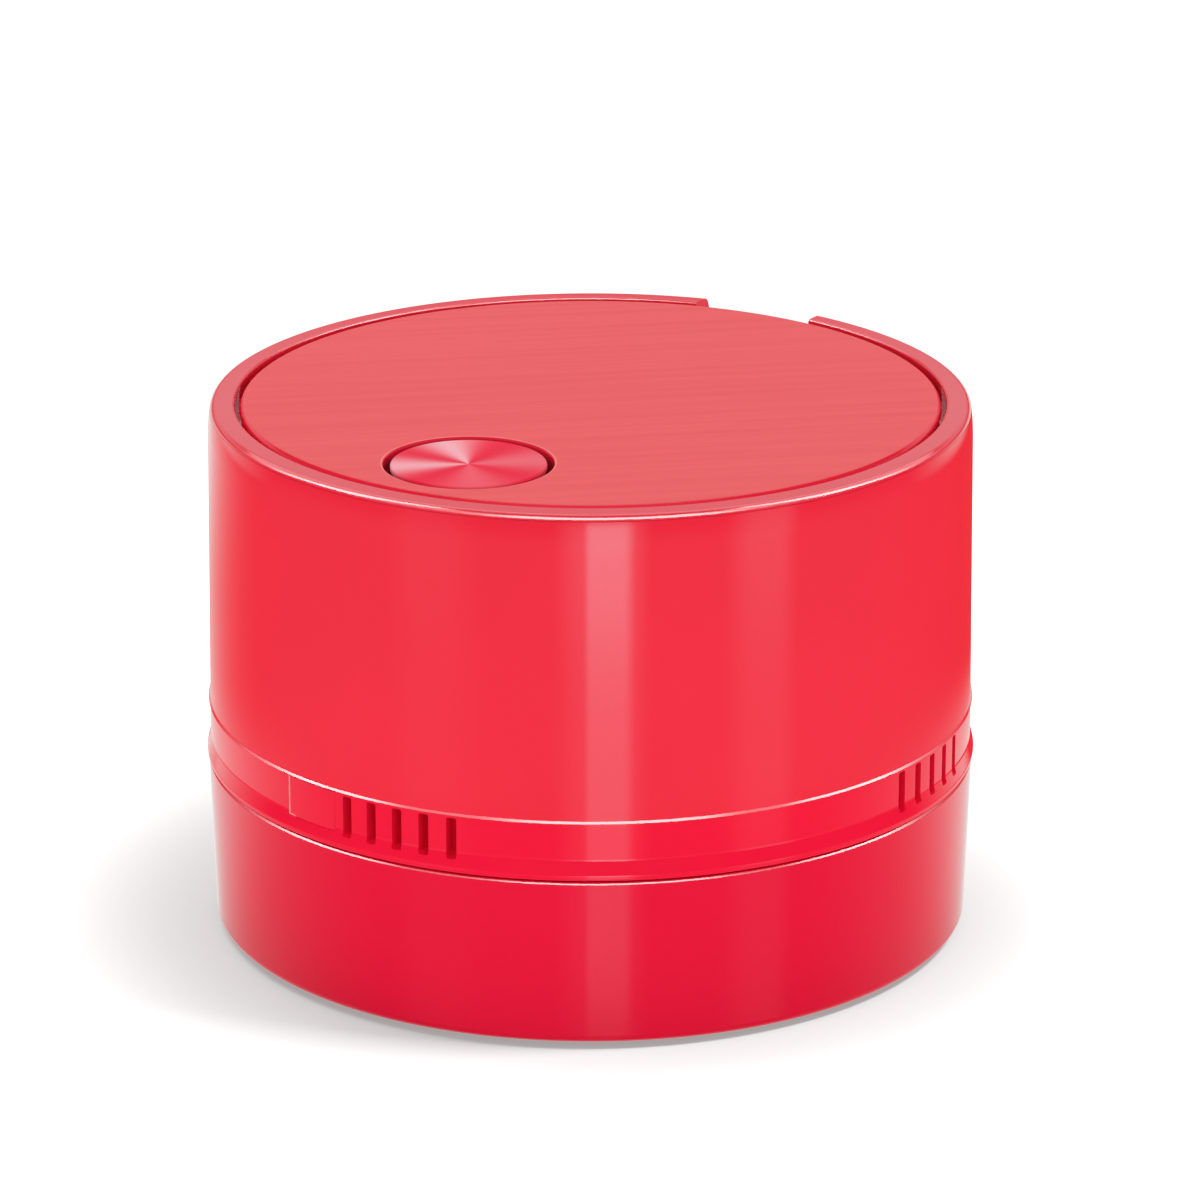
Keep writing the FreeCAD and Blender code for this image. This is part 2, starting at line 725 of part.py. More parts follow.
def make_leads():
    # Every route is a hand laid list of points: over the cells, down through the tray's wire
    # holes, round the motor and back up to its terminals.
    tab_x = d.cell_place
    tab_y = d.bay_half - 0.95
    tab_z = d.cell_height + d.tab_above - 0.4
    terminal_y = 1.25
    terminal_z = can_top + 5.2
    pin_y = button_y + 2.6
    pin_z = deck_top + 9.6
    low_z = deck_top + 5.2
    lead("link_lead", [
        (-tab_x, -tab_y, tab_z), (-15.5, -25.0, tab_z + 0.4), (-10.5, -16.6, tab_z + 0.8),
        (0, -15.4, tab_z + 0.5), (10.5, -16.6, tab_z + 0.8), (15.5, -25.0, tab_z + 0.4),
        (tab_x, -tab_y, tab_z),
    ])
    lead("black_lead", [
        (tab_x, tab_y, tab_z), (15.0, 25.6, tab_z + 0.5), (11.2, 14.0, tab_z + 0.6),
        (d.terminal_place, 6.5, terminal_z + 0.4), (d.terminal_place, terminal_y, terminal_z),
    ])
    lead("red_lead", [
        (-tab_x, tab_y, tab_z), (-14.5, 26.5, tab_z + 0.2), (-9.8, 22.4, tab_z - 4.0),
        (-9.5, 21.0, tab_z - 11.0), (-11.5, 14.0, low_z + 1.2), (-14.2, 2.0, low_z),
        (-12.0, -12.0, low_z), (-2.5, pin_y, pin_z),
    ])
    lead("switch_lead", [
        (2.5, pin_y, pin_z), (12.0, -12.0, low_z), (14.2, 2.0, low_z),
        (11.5, 14.0, low_z + 1.2), (9.5, 21.0, tab_z - 11.0), (9.0, 21.4, tab_z - 4.0),
        (2.0, 19.5, tab_z + 0.3), (-6.5, 13.0, tab_z + 0.7),
        (-d.terminal_place, 6.5, terminal_z + 0.4), (-d.terminal_place, terminal_y, terminal_z),
    ])


# ---------------------------------------------------------------- motor and fan

def sunk_screw_space(x, end):
    """The shape of a motor screw: a sunk head at the deck's underside, and its shank up to a level."""
    neck = d.deck_bottom + d.motor_screw_head - d.motor_screw_radius
    return fuse(
        cone(d.motor_screw_head, d.motor_screw_radius, d.deck_bottom, neck, x, 0),
        cylinder(d.motor_screw_radius, neck, end, x, 0),
    )


def make_motor():
    wall = d.motor_wall
    inner = d.motor_radius - wall
    floor = deck_top + wall
    screw_places = (-d.motor_screw_place, d.motor_screw_place)
    can = cut(
        cylinder(d.motor_radius, deck_top, can_top),
        cylinder(inner, floor, can_top + PAST),
        cylinder(d.front_bush_radius, deck_top - PAST, floor + PAST),
        *[cylinder(d.motor_screw_radius, deck_top - PAST, floor + PAST, x, 0) for x in screw_places]
    )
    subpart("motor_can", can)
    subpart("motor_screws", group(*[sunk_screw_space(x, floor) for x in screw_places]))

    boss_radius = 4.4
    boss_top = cap_top + 0.8
    skirt_bottom = can_top - 2
    cap = cut(
        fuse(
            cylinder(d.motor_radius, can_top, cap_top),
            tube(inner, inner - 1, skirt_bottom, can_top),
            cylinder(boss_radius, cap_top, boss_top),
        ),
        cylinder(d.rear_bush_radius, can_top - PAST, boss_top + PAST),
    )
    subpart("motor_end_cap", cap)

    shaft_hole = d.shaft_radius + d.bush_clear
    subpart("front_bush", tube(d.front_bush_radius, shaft_hole, d.deck_bottom + 0.2, floor + 0.8))
    subpart("rear_bush", tube(d.rear_bush_radius, shaft_hole, can_top + 0.2, boss_top))

    magnet_inner = inner - 1.6
    magnet_bottom = deck_top + 2
    magnet_top = can_top - 3
    magnet_sweep = 140
    magnets = [sector(inner, magnet_inner, magnet_bottom, magnet_top, start, magnet_sweep)
               for start in (20, 200)]
    subpart("motor_magnets", group(*magnets))

    brush_bottom = can_top - 2.4
    brush_reach = 0.9
    brushes = [box(x - brush_reach, x + brush_reach, -1, 1, brush_bottom, can_top) for x in (-3.4, 3.4)]
    subpart("motor_brushes", group(*brushes))

    tab_thick = 0.25
    tab_half = 1.2
    tab_top = cap_top + 3.4
    tabs = [box(x - tab_thick, x + tab_thick, -tab_half, tab_half, cap_top, tab_top)
            for x in (-d.terminal_place, d.terminal_place)]
    subpart("motor_terminals", group(*tabs))
    subpart("motor_damper", tube(d.motor_radius + 1, d.motor_radius, d.tray_bottom, tray_top))


def make_rotor():
    impeller_bottom = lip_top + 0.8
    impeller_top = impeller_bottom + d.blade_height + d.impeller_plate
    shaft_top = cap_top + 0.6
    subpart("motor_shaft", cylinder(d.shaft_radius, impeller_bottom + 0.4, shaft_top))

    core_bottom = deck_top + 4
    core_top = can_top - 6
    core_radius = 8.8
    groove_inner = 3.4
    groove_width = 2.2
    core = cut(
        cylinder(core_radius, core_bottom, core_top),
        cylinder(d.shaft_radius, core_bottom - PAST, core_top + PAST),
        *[spoke(angle, groove_inner, core_radius + PAST, groove_width, core_bottom - PAST,
                core_top + PAST) for angle in (30, 150, 270)]
    )
    subpart("armature", core)
    coil_outer = 7.4
    coil_inner = 3.0
    coil_height = 1.8
    coils = [
        tube(coil_outer, coil_inner, core_bottom - coil_height, core_bottom),
        tube(coil_outer, coil_inner, core_top, core_top + coil_height),
    ]
    subpart("windings", group(*coils))
    commutator_radius = 2.4
    subpart("commutator", tube(commutator_radius, d.shaft_radius, core_top + 2.6, can_top))

    hub_radius = 4
    nose_radius = 2.6
    hub = cylinder(hub_radius, impeller_bottom, impeller_top)
    nose = cone(nose_radius, hub_radius, impeller_bottom - 0.5, impeller_bottom)
    plate = cylinder(d.impeller_radius, impeller_top - d.impeller_plate, impeller_top)
    # Each blade is an arc of a circle beside the axis, so that it leans back as it runs outwards.
    bend = 20
    bend_centre = Vector(14, -16, 0)
    blade_start = 41
    blade_sweep = 59
    blade_count = 9
    blades = []
    for i in range(blade_count):
        turn = i * 360 / blade_count
        centre = FreeCAD.Rotation(UP, turn).multVec(bend_centre)
        outer = cylinder(bend + d.blade_thick / 2, impeller_bottom, impeller_top, centre.x, centre.y)
        outer.Placement.Rotation = FreeCAD.Rotation(UP, turn + blade_start)
        outer.Angle = blade_sweep
        inner = cylinder(bend - d.blade_thick / 2, impeller_bottom - PAST, impeller_top + PAST,
                         centre.x, centre.y)
        blades.append(cut(outer, inner))
    bore = cylinder(d.shaft_radius, impeller_bottom, impeller_top + PAST)
    subpart("impeller", cut(fuse(hub, nose, plate, *blades), bore))


def make_fan_deck():
    pilot_bottom = d.tray_bottom - 8
    pieces = [cylinder(d.deck_radius, d.deck_bottom, deck_top)]
    holes = [cylinder(d.front_bush_radius, d.deck_bottom - PAST, deck_top + PAST)]
    for side in (-1, 1):
        post_x = d.tray_post_place * side
        pieces.append(cylinder(d.tray_post_radius, deck_top, d.tray_bottom, post_x, 0))
        holes.append(cylinder(d.screw_radius, pilot_bottom, d.tray_bottom + PAST, post_x, 0))
        holes.append(sunk_screw_space(d.motor_screw_place * side, deck_top + PAST))
    foot_inner = 32.6
    foot_outer = 34.6
    foot_width = 9
    pieces.append(spoke(port_angle, foot_inner, foot_outer, foot_width, d.deck_bottom - d.board_drop,
                        d.deck_bottom))
    for x, y in ring_places(d.post_ring, diagonals):
        holes.append(cylinder(d.screw_way, d.deck_bottom - PAST, deck_top + PAST, x, y))
    subpart("fan_deck", cut(fuse(*pieces), *holes))


# ---------------------------------------------------------------- vent band and charging port

def make_vent_band():
    inner = d.band_radius - d.band_wall
    low_spigot_outer = d.spigot_radius - 0.15
    low_spigot_inner = d.spigot_radius - 1.6
    band = revolved("vent_band_body", [
        (d.eye_radius, lip_bottom),
        (low_spigot_inner, lip_bottom),
        (low_spigot_inner, d.spigot_bottom),
        (low_spigot_outer, d.spigot_bottom),
        (low_spigot_outer, lip_bottom),
        (d.lip_radius, lip_bottom),
        (d.lip_radius, lip_bottom + d.lip_upright),
        (d.band_radius, lip_bottom + d.flare_height),
        (d.band_radius, d.band_top),
        (d.spigot_radius, d.band_top),
        (d.spigot_radius, d.spigot_top),
        (d.spigot_inner, d.spigot_top),
        (d.spigot_inner, d.band_top + 0.5),
        (inner, d.band_top - 0.9),
        (inner, lip_top),
        (d.eye_radius, lip_top),
    ])
    lip_foot_round = 0.2
    round_ring(band, d.lip_radius, lip_bottom, lip_foot_round)
    head_sink = 1.9
    head_room = d.screw_head + 0.3
    pieces = [band]
    holes = []
    for x, y in ring_places(d.post_ring, diagonals):
        pieces.append(cylinder(d.post_radius, lip_top, d.deck_bottom, x, y))
        holes.append(cylinder(d.screw_way, lip_bottom - PAST, d.deck_bottom + PAST, x, y))
        holes.append(cylinder(head_room, lip_bottom - PAST, lip_bottom + head_sink, x, y))
    slot_pitch = 4.35
    slot_inner = inner - 1.6
    for group_angle in (0, 90, 180, 270):
        for step in (-2, -1, 0, 1, 2):
            holes.append(spoke(group_angle + step * slot_pitch, slot_inner, d.band_radius + PAST,
                               d.slot_width, d.slot_bottom, d.slot_top))
    side_gap = 0.2  # degrees
    window_bottom = d.flap_bottom - d.flap_gap
    holes.append(sector(d.band_radius + PAST, inner - PAST, window_bottom, d.band_top,
                        d.flap_left - 90 - side_gap, d.flap_right - d.flap_left + side_gap))
    pin_x, pin_y = flap_pivot()
    knuckle_room = d.knuckle_radius + 0.2
    holes.append(cylinder(knuckle_room, window_bottom, d.band_top, pin_x, pin_y))
    holes.append(cylinder(d.pin_radius, pin_bottom, lip_top + PAST, pin_x, pin_y))
    subpart("vent_band", cut(fuse(*pieces), *holes))


def flap_pivot():
    """Where the flap's pin stands: just inside the band's face, near the flap's right edge."""
    radius = d.band_radius - d.knuckle_radius
    angle = (d.flap_right - d.hinge_inset).number - 90
    return radius * cosine(angle), radius * sine(angle)


def make_port_flap():
    pin_x, pin_y = flap_pivot()
    top = d.band_top - d.flap_gap
    bore_radius = d.pin_radius + 0.05
    panel = sector(d.band_radius, d.band_radius - d.flap_thick, d.flap_bottom, top,
                   d.flap_left - 90, d.flap_right - d.flap_left - d.hinge_inset)
    knuckle = cylinder(d.knuckle_radius, d.flap_bottom, top, pin_x, pin_y)
    bore = cylinder(bore_radius, d.flap_bottom - PAST, top + PAST, pin_x, pin_y)
    subpart("port_flap", cut(fuse(panel, knuckle), bore))
    subpart("flap_pin", cylinder(d.pin_radius, pin_bottom, d.band_top, pin_x, pin_y))


def make_charging_port():
    board_top = d.deck_bottom - d.board_drop
    board_bottom = board_top - 1
    board_inner = 32
    board_outer = 39
    board_width = 11
    subpart("charge_board", spoke(port_angle, board_inner, board_outer, board_width, board_bottom,
                                  board_top))
    mouth = 41.0
    back = mouth - 5.5
    shell_width = 7.5
    opening_width = 6.9
    shell = cut(
        spoke(port_angle, back, mouth, shell_width, board_bottom - 2.6, board_bottom),
        spoke(port_angle, back + 0.5, mouth + PAST, opening_width, board_bottom - 2.3, board_bottom - 0.35),
    )
    tongue_width = 4.6
    tongue = spoke(port_angle, back + 0.3, mouth - 0.8, tongue_width, board_bottom - 1.5,
                   board_bottom - 0.9)
    subpart("charge_socket", fuse(shell, tongue))


# ---------------------------------------------------------------- dust cup, filter and brush

def make_dust_cup():
    inner_head = d.base_head_radius - d.cup_wall
    inner_foot = d.base_foot_radius - d.cup_wall
    floor_top = base_bottom + d.cup_floor
    chimney = d.mouth_radius + d.chimney_wall
    recess_wall = d.recess_radius + 1.5
    ledge_thick = 0.8
    ledge_foot = d.filter_seat - 2.8
    cup = revolved("dust_cup_body", [
        (inner_foot, base_bottom),
        (d.base_foot_radius, base_bottom),
        (d.base_head_radius, d.base_top),
        (inner_head, d.base_top),
        (inner_head, d.filter_seat),
        (d.filter_seat_radius, d.filter_seat),
        (d.filter_seat_radius, d.filter_seat - ledge_thick),
        (inner_foot, ledge_foot),
    ])
    foot_round = 1.0
    head_round = 0.5
    round_ring(cup, d.base_foot_radius, base_bottom, foot_round)
    round_ring(cup, d.base_head_radius, d.base_top, head_round)
    subpart("dust_cup", cup)

    plate = revolved("base_plate_body", [
        (d.recess_radius, base_bottom),
        (inner_foot, base_bottom),
        (inner_foot, floor_top),
        (recess_wall, floor_top),
        (recess_wall, recess_floor),
        (chimney, recess_floor),
        (chimney, d.chimney_top),
        (d.mouth_radius, d.chimney_top),
        (d.mouth_radius, d.recess_top),
        (d.recess_radius, d.recess_top),
    ])
    edge_round = 0.3
    round_ring(plate, inner_foot, base_bottom, edge_round)
    round_ring(plate, d.recess_radius, base_bottom, edge_round)
    seat_top = base_bottom + d.foot_sink
    foot_places = ring_places(d.foot_ring, diagonals)
    seats = [cylinder(d.foot_radius, base_bottom - PAST, seat_top, x, y) for x, y in foot_places]
    boss_radius = 2.4
    boss_top = recess_floor + 2.5
    pilot_top = recess_floor + 1.8
    bosses = []
    pilots = []
    for x, y in ring_places(d.brush_screw_ring, brush_screw_angles):
        bosses.append(cylinder(boss_radius, recess_floor, boss_top, x, y))
        pilots.append(cylinder(d.screw_radius, d.recess_top - PAST, pilot_top, x, y))
    subpart("base_plate", cut(fuse(plate, *bosses), *seats, *pilots))

    feet = [cylinder(d.foot_radius, 0, seat_top, x, y) for x, y in foot_places]
    subpart("glide_feet", group(*feet))


def make_brush():
    bottom = d.recess_top - d.brush_plate_height
    places = ring_places(d.brush_screw_ring, brush_screw_angles)
    plate = cut(
        tube(d.brush_plate_radius, d.mouth_radius, bottom, d.recess_top),
        *[cylinder(d.screw_radius, bottom - PAST, d.recess_top + PAST, x, y) for x, y in places]
    )
    subpart("brush_plate", plate)
    tuft_count = 30
    tuft_angles = [i * 360 / tuft_count for i in range(tuft_count)]
    tufts = [cylinder(d.tuft_radius, d.tuft_clear, bottom, x, y)
             for x, y in ring_places(d.brush_ring, tuft_angles)]
    subpart("brush_bristles", group(*tufts))
    head_height = 1.1
    screw_end = recess_floor + 1.6
    screws = [screw(d.screw_head, bottom - head_height, bottom, d.screw_radius, bottom, screw_end, x, y)
              for x, y in places]
    subpart("brush_screws", group(*screws))


def make_filter():
    top = d.filter_seat + d.filter_height
    mesh_bottom = d.filter_seat + 0.3
    mesh_top = mesh_bottom + 0.5
    hub_radius = 5
    ring_outer = 20
    ring_inner = 18.4
    rib_width = 2
    rib_start = hub_radius - 2
    rib_end = d.filter_clear_radius + 0.5
    ribs = [spoke(angle, rib_start, rib_end, rib_width, mesh_top, top)
            for angle in (0, 60, 120, 180, 240, 300)]
    frame = fuse(
        tube(d.filter_radius, d.filter_clear_radius, d.filter_seat, top),
        cylinder(hub_radius, mesh_top, top),
        tube(ring_outer, ring_inner, mesh_top, top),
        *ribs
    )
    subpart("filter_frame", frame)
    subpart("filter_mesh", cylinder(d.filter_clear_radius, mesh_bottom, mesh_top))
    seal_outer = d.spigot_radius - 0.35
    seal_inner = d.spigot_radius - 1.4
    seal_height = 0.6
    subpart("cup_seal", tube(seal_outer, seal_inner, d.spigot_bottom - seal_height, d.spigot_bottom))


# ---------------------------------------------------------------- fasteners

def make_screws():
    head_bottom = lip_bottom + 0.3
    head_top = lip_bottom + 1.9
    case_end = deck_top + 6.5
    heads = [screw(d.screw_head, head_bottom, head_top, d.screw_radius, head_top, case_end, x, y)
             for x, y in ring_places(d.post_ring, diagonals)]
    subpart("deck_screws", group(*heads))
    tray_end = d.tray_bottom - 7
    tops = [screw(d.screw_head, tray_top, tray_top + 1.4, d.screw_radius, tray_end, tray_top,
                  d.tray_post_place * side, 0) for side in (-1, 1)]
    subpart("tray_screws", group(*tops))


make_outer_shell()
make_cover()
make_button()
make_battery_tray()
make_cell("cell_left", -d.cell_place, 1)
make_cell("cell_right", d.cell_place, -1)
make_battery_contacts()
make_leads()
make_motor()
make_rotor()
make_fan_deck()
make_vent_band()
make_port_flap()
make_charging_port()
make_dust_cup()
make_brush()
make_filter()
make_screws()
doc.recompute()

for thing in doc.Objects:
    if "Invalid" in thing.State or "Error" in thing.State:
        raise RuntimeError("%s did not compute: %s" % (thing.Label, thing.State))
for thing in subparts:
    if thing.Shape.isNull() or not thing.Shape.isValid() or not thing.Shape.Solids:
        raise RuntimeError("%s has no valid solid" % thing.Label)

os.makedirs("parts", exist_ok=True)
for thing in subparts:
    thing.Shape.exportStep("parts/%s.step" % thing.Label)
    print("%-18s %2d solids %9.1f mm3" % (thing.Label, len(thing.Shape.Solids), thing.Shape.Volume))
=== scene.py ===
import json
import math
import random

import bmesh
import bpy
from mathutils import Matrix, Vector


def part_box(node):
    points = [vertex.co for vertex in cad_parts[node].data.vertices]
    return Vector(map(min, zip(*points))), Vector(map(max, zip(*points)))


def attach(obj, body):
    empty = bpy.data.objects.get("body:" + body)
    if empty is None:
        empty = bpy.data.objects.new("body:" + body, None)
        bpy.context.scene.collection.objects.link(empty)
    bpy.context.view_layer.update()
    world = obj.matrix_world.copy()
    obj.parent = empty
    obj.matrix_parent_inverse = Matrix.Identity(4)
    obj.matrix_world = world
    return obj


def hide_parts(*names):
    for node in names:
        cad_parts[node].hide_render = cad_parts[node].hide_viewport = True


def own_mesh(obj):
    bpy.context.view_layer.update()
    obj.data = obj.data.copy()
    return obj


# Desktop mini vacuum cleaner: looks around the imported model.
#
# Lengths are millimetres in the model's own frame and are turned into metres where a mesh is made.
# The frame is +Z up with the button's side at -Y. An azimuth is measured round the axis from
# -Y towards +X, so it is also the azimuth of a camera that looks at that side. Angles are degrees.

MM = 0.001
PAST = 1.0          # how far a cutting tool runs past the face it cuts through
SEGMENTS = 384      # steps round a turned piece
HOLD = 0.05         # support loop beside a rounded edge
ARC_STEP = 11.0     # degrees of turn in one step of a rounding
ARC_LENGTH = 0.4    # and its greatest length
SHARP = 32.0        # edges that turn by more than this many degrees stay sharp
CAMERA_AZIMUTH = 29.0

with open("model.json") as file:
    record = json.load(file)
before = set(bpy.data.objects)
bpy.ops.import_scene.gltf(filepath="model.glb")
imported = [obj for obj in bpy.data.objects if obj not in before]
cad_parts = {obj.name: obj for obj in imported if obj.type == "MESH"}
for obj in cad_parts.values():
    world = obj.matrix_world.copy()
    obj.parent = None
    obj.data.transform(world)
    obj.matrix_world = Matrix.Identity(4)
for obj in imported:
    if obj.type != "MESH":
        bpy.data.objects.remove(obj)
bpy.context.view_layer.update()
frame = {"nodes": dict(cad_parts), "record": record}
nodes = frame["nodes"]
node_slots = {part["node"]: part["material_slot"] for part in frame["record"]["subparts"]}


def span(node):
    """A node's reach along X, its bottom and its top."""
    low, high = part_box(node)
    return high.x / MM, low.z / MM, high.z / MM


def cosine(degrees):
    return math.cos(math.radians(degrees))


def sine(degrees):
    return math.sin(math.radians(degrees))


def towards(azimuth, elevation=0.0):
    """The direction of an azimuth and an elevation."""
    flat = cosine(elevation)
    return Vector((sine(azimuth) * flat, -cosine(azimuth) * flat, sine(elevation)))


# ---------------------------------------------------------------- meshes

def new_piece(name, bm):
    """Turn a bmesh in millimetres into an object in metres."""
    bmesh.ops.scale(bm, vec=(MM, MM, MM), verts=bm.verts)
    bmesh.ops.recalc_face_normals(bm, faces=bm.faces)
    mesh = bpy.data.meshes.new(name)
    bm.to_mesh(mesh)
    bm.free()
    piece = bpy.data.objects.new(name, mesh)
    bpy.context.scene.collection.objects.link(piece)
    smooth(piece)
    return piece


def smooth(piece):
    """Shade smooth, with sharp edges where the surface turns hard."""
    piece.data.shade_smooth()
    piece.data.set_sharp_from_angle(angle=math.radians(SHARP))


def rounded(corners):
    """An outline from (radius, height, rounding) corners, with arcs and support points."""
    points = []
    count = len(corners)
    for i, (radius, height, rounding) in enumerate(corners):
        here = Vector((radius, height))
        if not rounding:
            points.append(here)
            continue
        back = (Vector(corners[i - 1][:2]) - here).normalized()
        ahead = (Vector(corners[(i + 1) % count][:2]) - here).normalized()
        half = back.angle(ahead) / 2
        reach = rounding / math.tan(half)
        centre = here + (back + ahead).normalized() * (rounding / math.sin(half))
        first = here + back * reach - centre
        turn = first.angle_signed(here + ahead * reach - centre)
        steps = max(2, round(abs(math.degrees(turn)) / ARC_STEP), round(abs(turn) * rounding / ARC_LENGTH))
        points.append(here + back * (reach + HOLD))
        for step in range(steps + 1):
            points.append(centre + Matrix.Rotation(-turn * step / steps, 2) @ first)
        points.append(here + ahead * (reach + HOLD))
    return points


def lathe(bm, outline, segments, x, y, closed):
    """Turn an outline about an upright axis, and give the points made for each step."""
    rings = []
    for step in range(segments):
        angle = 360 * step / segments
        rings.append([bm.verts.new((x + p.x * cosine(angle), y + p.x * sine(angle), p.y)) for p in outline])
    count = len(outline)
    for here, after in zip(rings, rings[1:] + rings[:1]):
        for i in range(count if closed else count - 1):
            j = (i + 1) % count
            if outline[i].x or outline[j].x:
                bm.faces.new((here[i], after[i], after[j], here[j]))
    return rings


def turned(name, corners, segments=SEGMENTS, x=0.0, y=0.0):
    """A closed surface turned about an upright axis."""
    bm = bmesh.new()
    lathe(bm, rounded(corners), segments, x, y, True)
    bmesh.ops.remove_doubles(bm, verts=bm.verts, dist=1e-5)
    return new_piece(name, bm)


def flat_between(bm, loops):
    """Fill the flat face that loops of points enclose."""
    edges = [bm.edges.get((a, b)) for loop in loops for a, b in zip(loop, loop[1:] + loop[:1])]
    bmesh.ops.triangle_fill(bm, use_beauty=True, edges=edges)


def skin(bm, rings):
    """Join rings of points into a tube and close its ends."""
    bm.faces.new(rings[0])
    bm.faces.new(rings[-1])
    count = len(rings[0])
    for here, after in zip(rings, rings[1:]):
        for i in range(count):
            j = (i + 1) % count
            bm.faces.new((here[i], here[j], after[j], after[i]))


def prism(outline, start, end, place=Matrix.Identity(4)):
    """A straight bar with the given outline in local X and Y, from start to end along local Z."""
    bm = bmesh.new()
    skin(bm, [[bm.verts.new(place @ Vector((x, y, height))) for x, y in outline] for height in (start, end)])
    return new_piece("tool", bm)


def circle(radius, x=0.0, y=0.0, steps=48):
    """The outline of a circle."""
    return [(x + radius * cosine(360 * i / steps), y + radius * sine(360 * i / steps)) for i in range(steps)]


def rectangle(half_width, bottom, top, corner, steps=5):
    """The outline of an upright rectangle with rounded corners."""
    points = []
    for x, y, start in ((half_width, bottom, -90), (half_width, top, 0), (-half_width, top, 90),
                        (-half_width, bottom, 180)):
        middle_x = x - math.copysign(corner, x)
        middle_y = y + corner if y == bottom else y - corner
        for i in range(steps + 1):
            angle = start + 90 * i / steps
            points.append((middle_x + corner * cosine(angle), middle_y + corner * sine(angle)))
    return points


def sector(inner, outer, start, end, steps=24):
    """The outline of a piece of a ring between two azimuths."""
    outline = []
    for radius, angles in ((inner, range(steps + 1)), (outer, range(steps, -1, -1))):
        for i in angles:
            point = towards(start + (end - start) * i / steps) * radius
            outline.append((point.x, point.y))
    return outline


def facing(azimuth):
    """A place whose local Z points outwards at an azimuth, with local Y up."""
    out = towards(azimuth)
    side = Vector((0, 0, 1)).cross(out)
    return Matrix((side, Vector((0, 0, 1)), out)).transposed().to_4x4()


def combine(piece, tools, operation):
    """Cut tools from a piece, or join them to it, and keep the finished mesh."""
    bm = bmesh.new()
    for tool in tools:
        bm.from_mesh(tool.data)
    joined = bpy.data.meshes.new("tools")
    bm.to_mesh(joined)
    bm.free()
    helper = bpy.data.objects.new("tools", joined)
    bpy.context.scene.collection.objects.link(helper)
    step = piece.modifiers.new("combine", "BOOLEAN")
    step.operation = operation
    step.solver = "MANIFOLD"
    step.object = helper
    depsgraph = bpy.context.evaluated_depsgraph_get()
    mesh = bpy.data.meshes.new_from_object(piece.evaluated_get(depsgraph))
    piece.modifiers.clear()
    piece.data = mesh
    for tool in tools + [helper]:
        bpy.data.objects.remove(tool)
    smooth(piece)


# ---------------------------------------------------------------- levels read from the frame

shell_reach, shell_bottom, rim_top = span("outer_shell")
lip_reach, low_spigot_bottom, spigot_top = span("vent_band")
base_reach, base_bottom, base_top = span("dust_cup")
cover_reach, cover_bottom, cover_top = span("cover_plate")
disc_low, disc_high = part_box("button_disc")
disc_reach = (disc_high.x - disc_low.x) / 2 / MM
flap_low, flap_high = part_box("port_flap")
flap_bottom, flap_top = flap_low.z / MM, flap_high.z / MM
motor_bottom = span("motor_can")[1]
button_spot = ((disc_low.x + disc_high.x) / 2 / MM, (disc_low.y + disc_high.y) / 2 / MM, disc_high.z / MM)
button_x, button_y, button_top = button_spot

DIAGONALS = (45, 135, 225, 315)
POST_RING = 35.8     # the screw posts stand on this radius
POST_REACH = 3.0     # and have this one
JOINT_GAP = 0.25
BAND_REACH = shell_reach - 0.1
SPIGOT_REACH = shell_reach - 2.1
CHAMFER_TILT = 42.0  # a chamfer's outward direction, above the level
FLAP_LEFT = -20.9    # the flap's free edge
FLAP_RIGHT = -11.0   # and its hinged one
HINGE_INSET = 1.2    # degrees from the hinged edge to the pin
KNUCKLE = 0.75
FLAP_PIN = (towards(FLAP_RIGHT - HINGE_INSET) * (BAND_REACH - KNUCKLE)).xy
BASE_RED = (0.75, 0.0065, 0.035)


# ---------------------------------------------------------------- node graphs

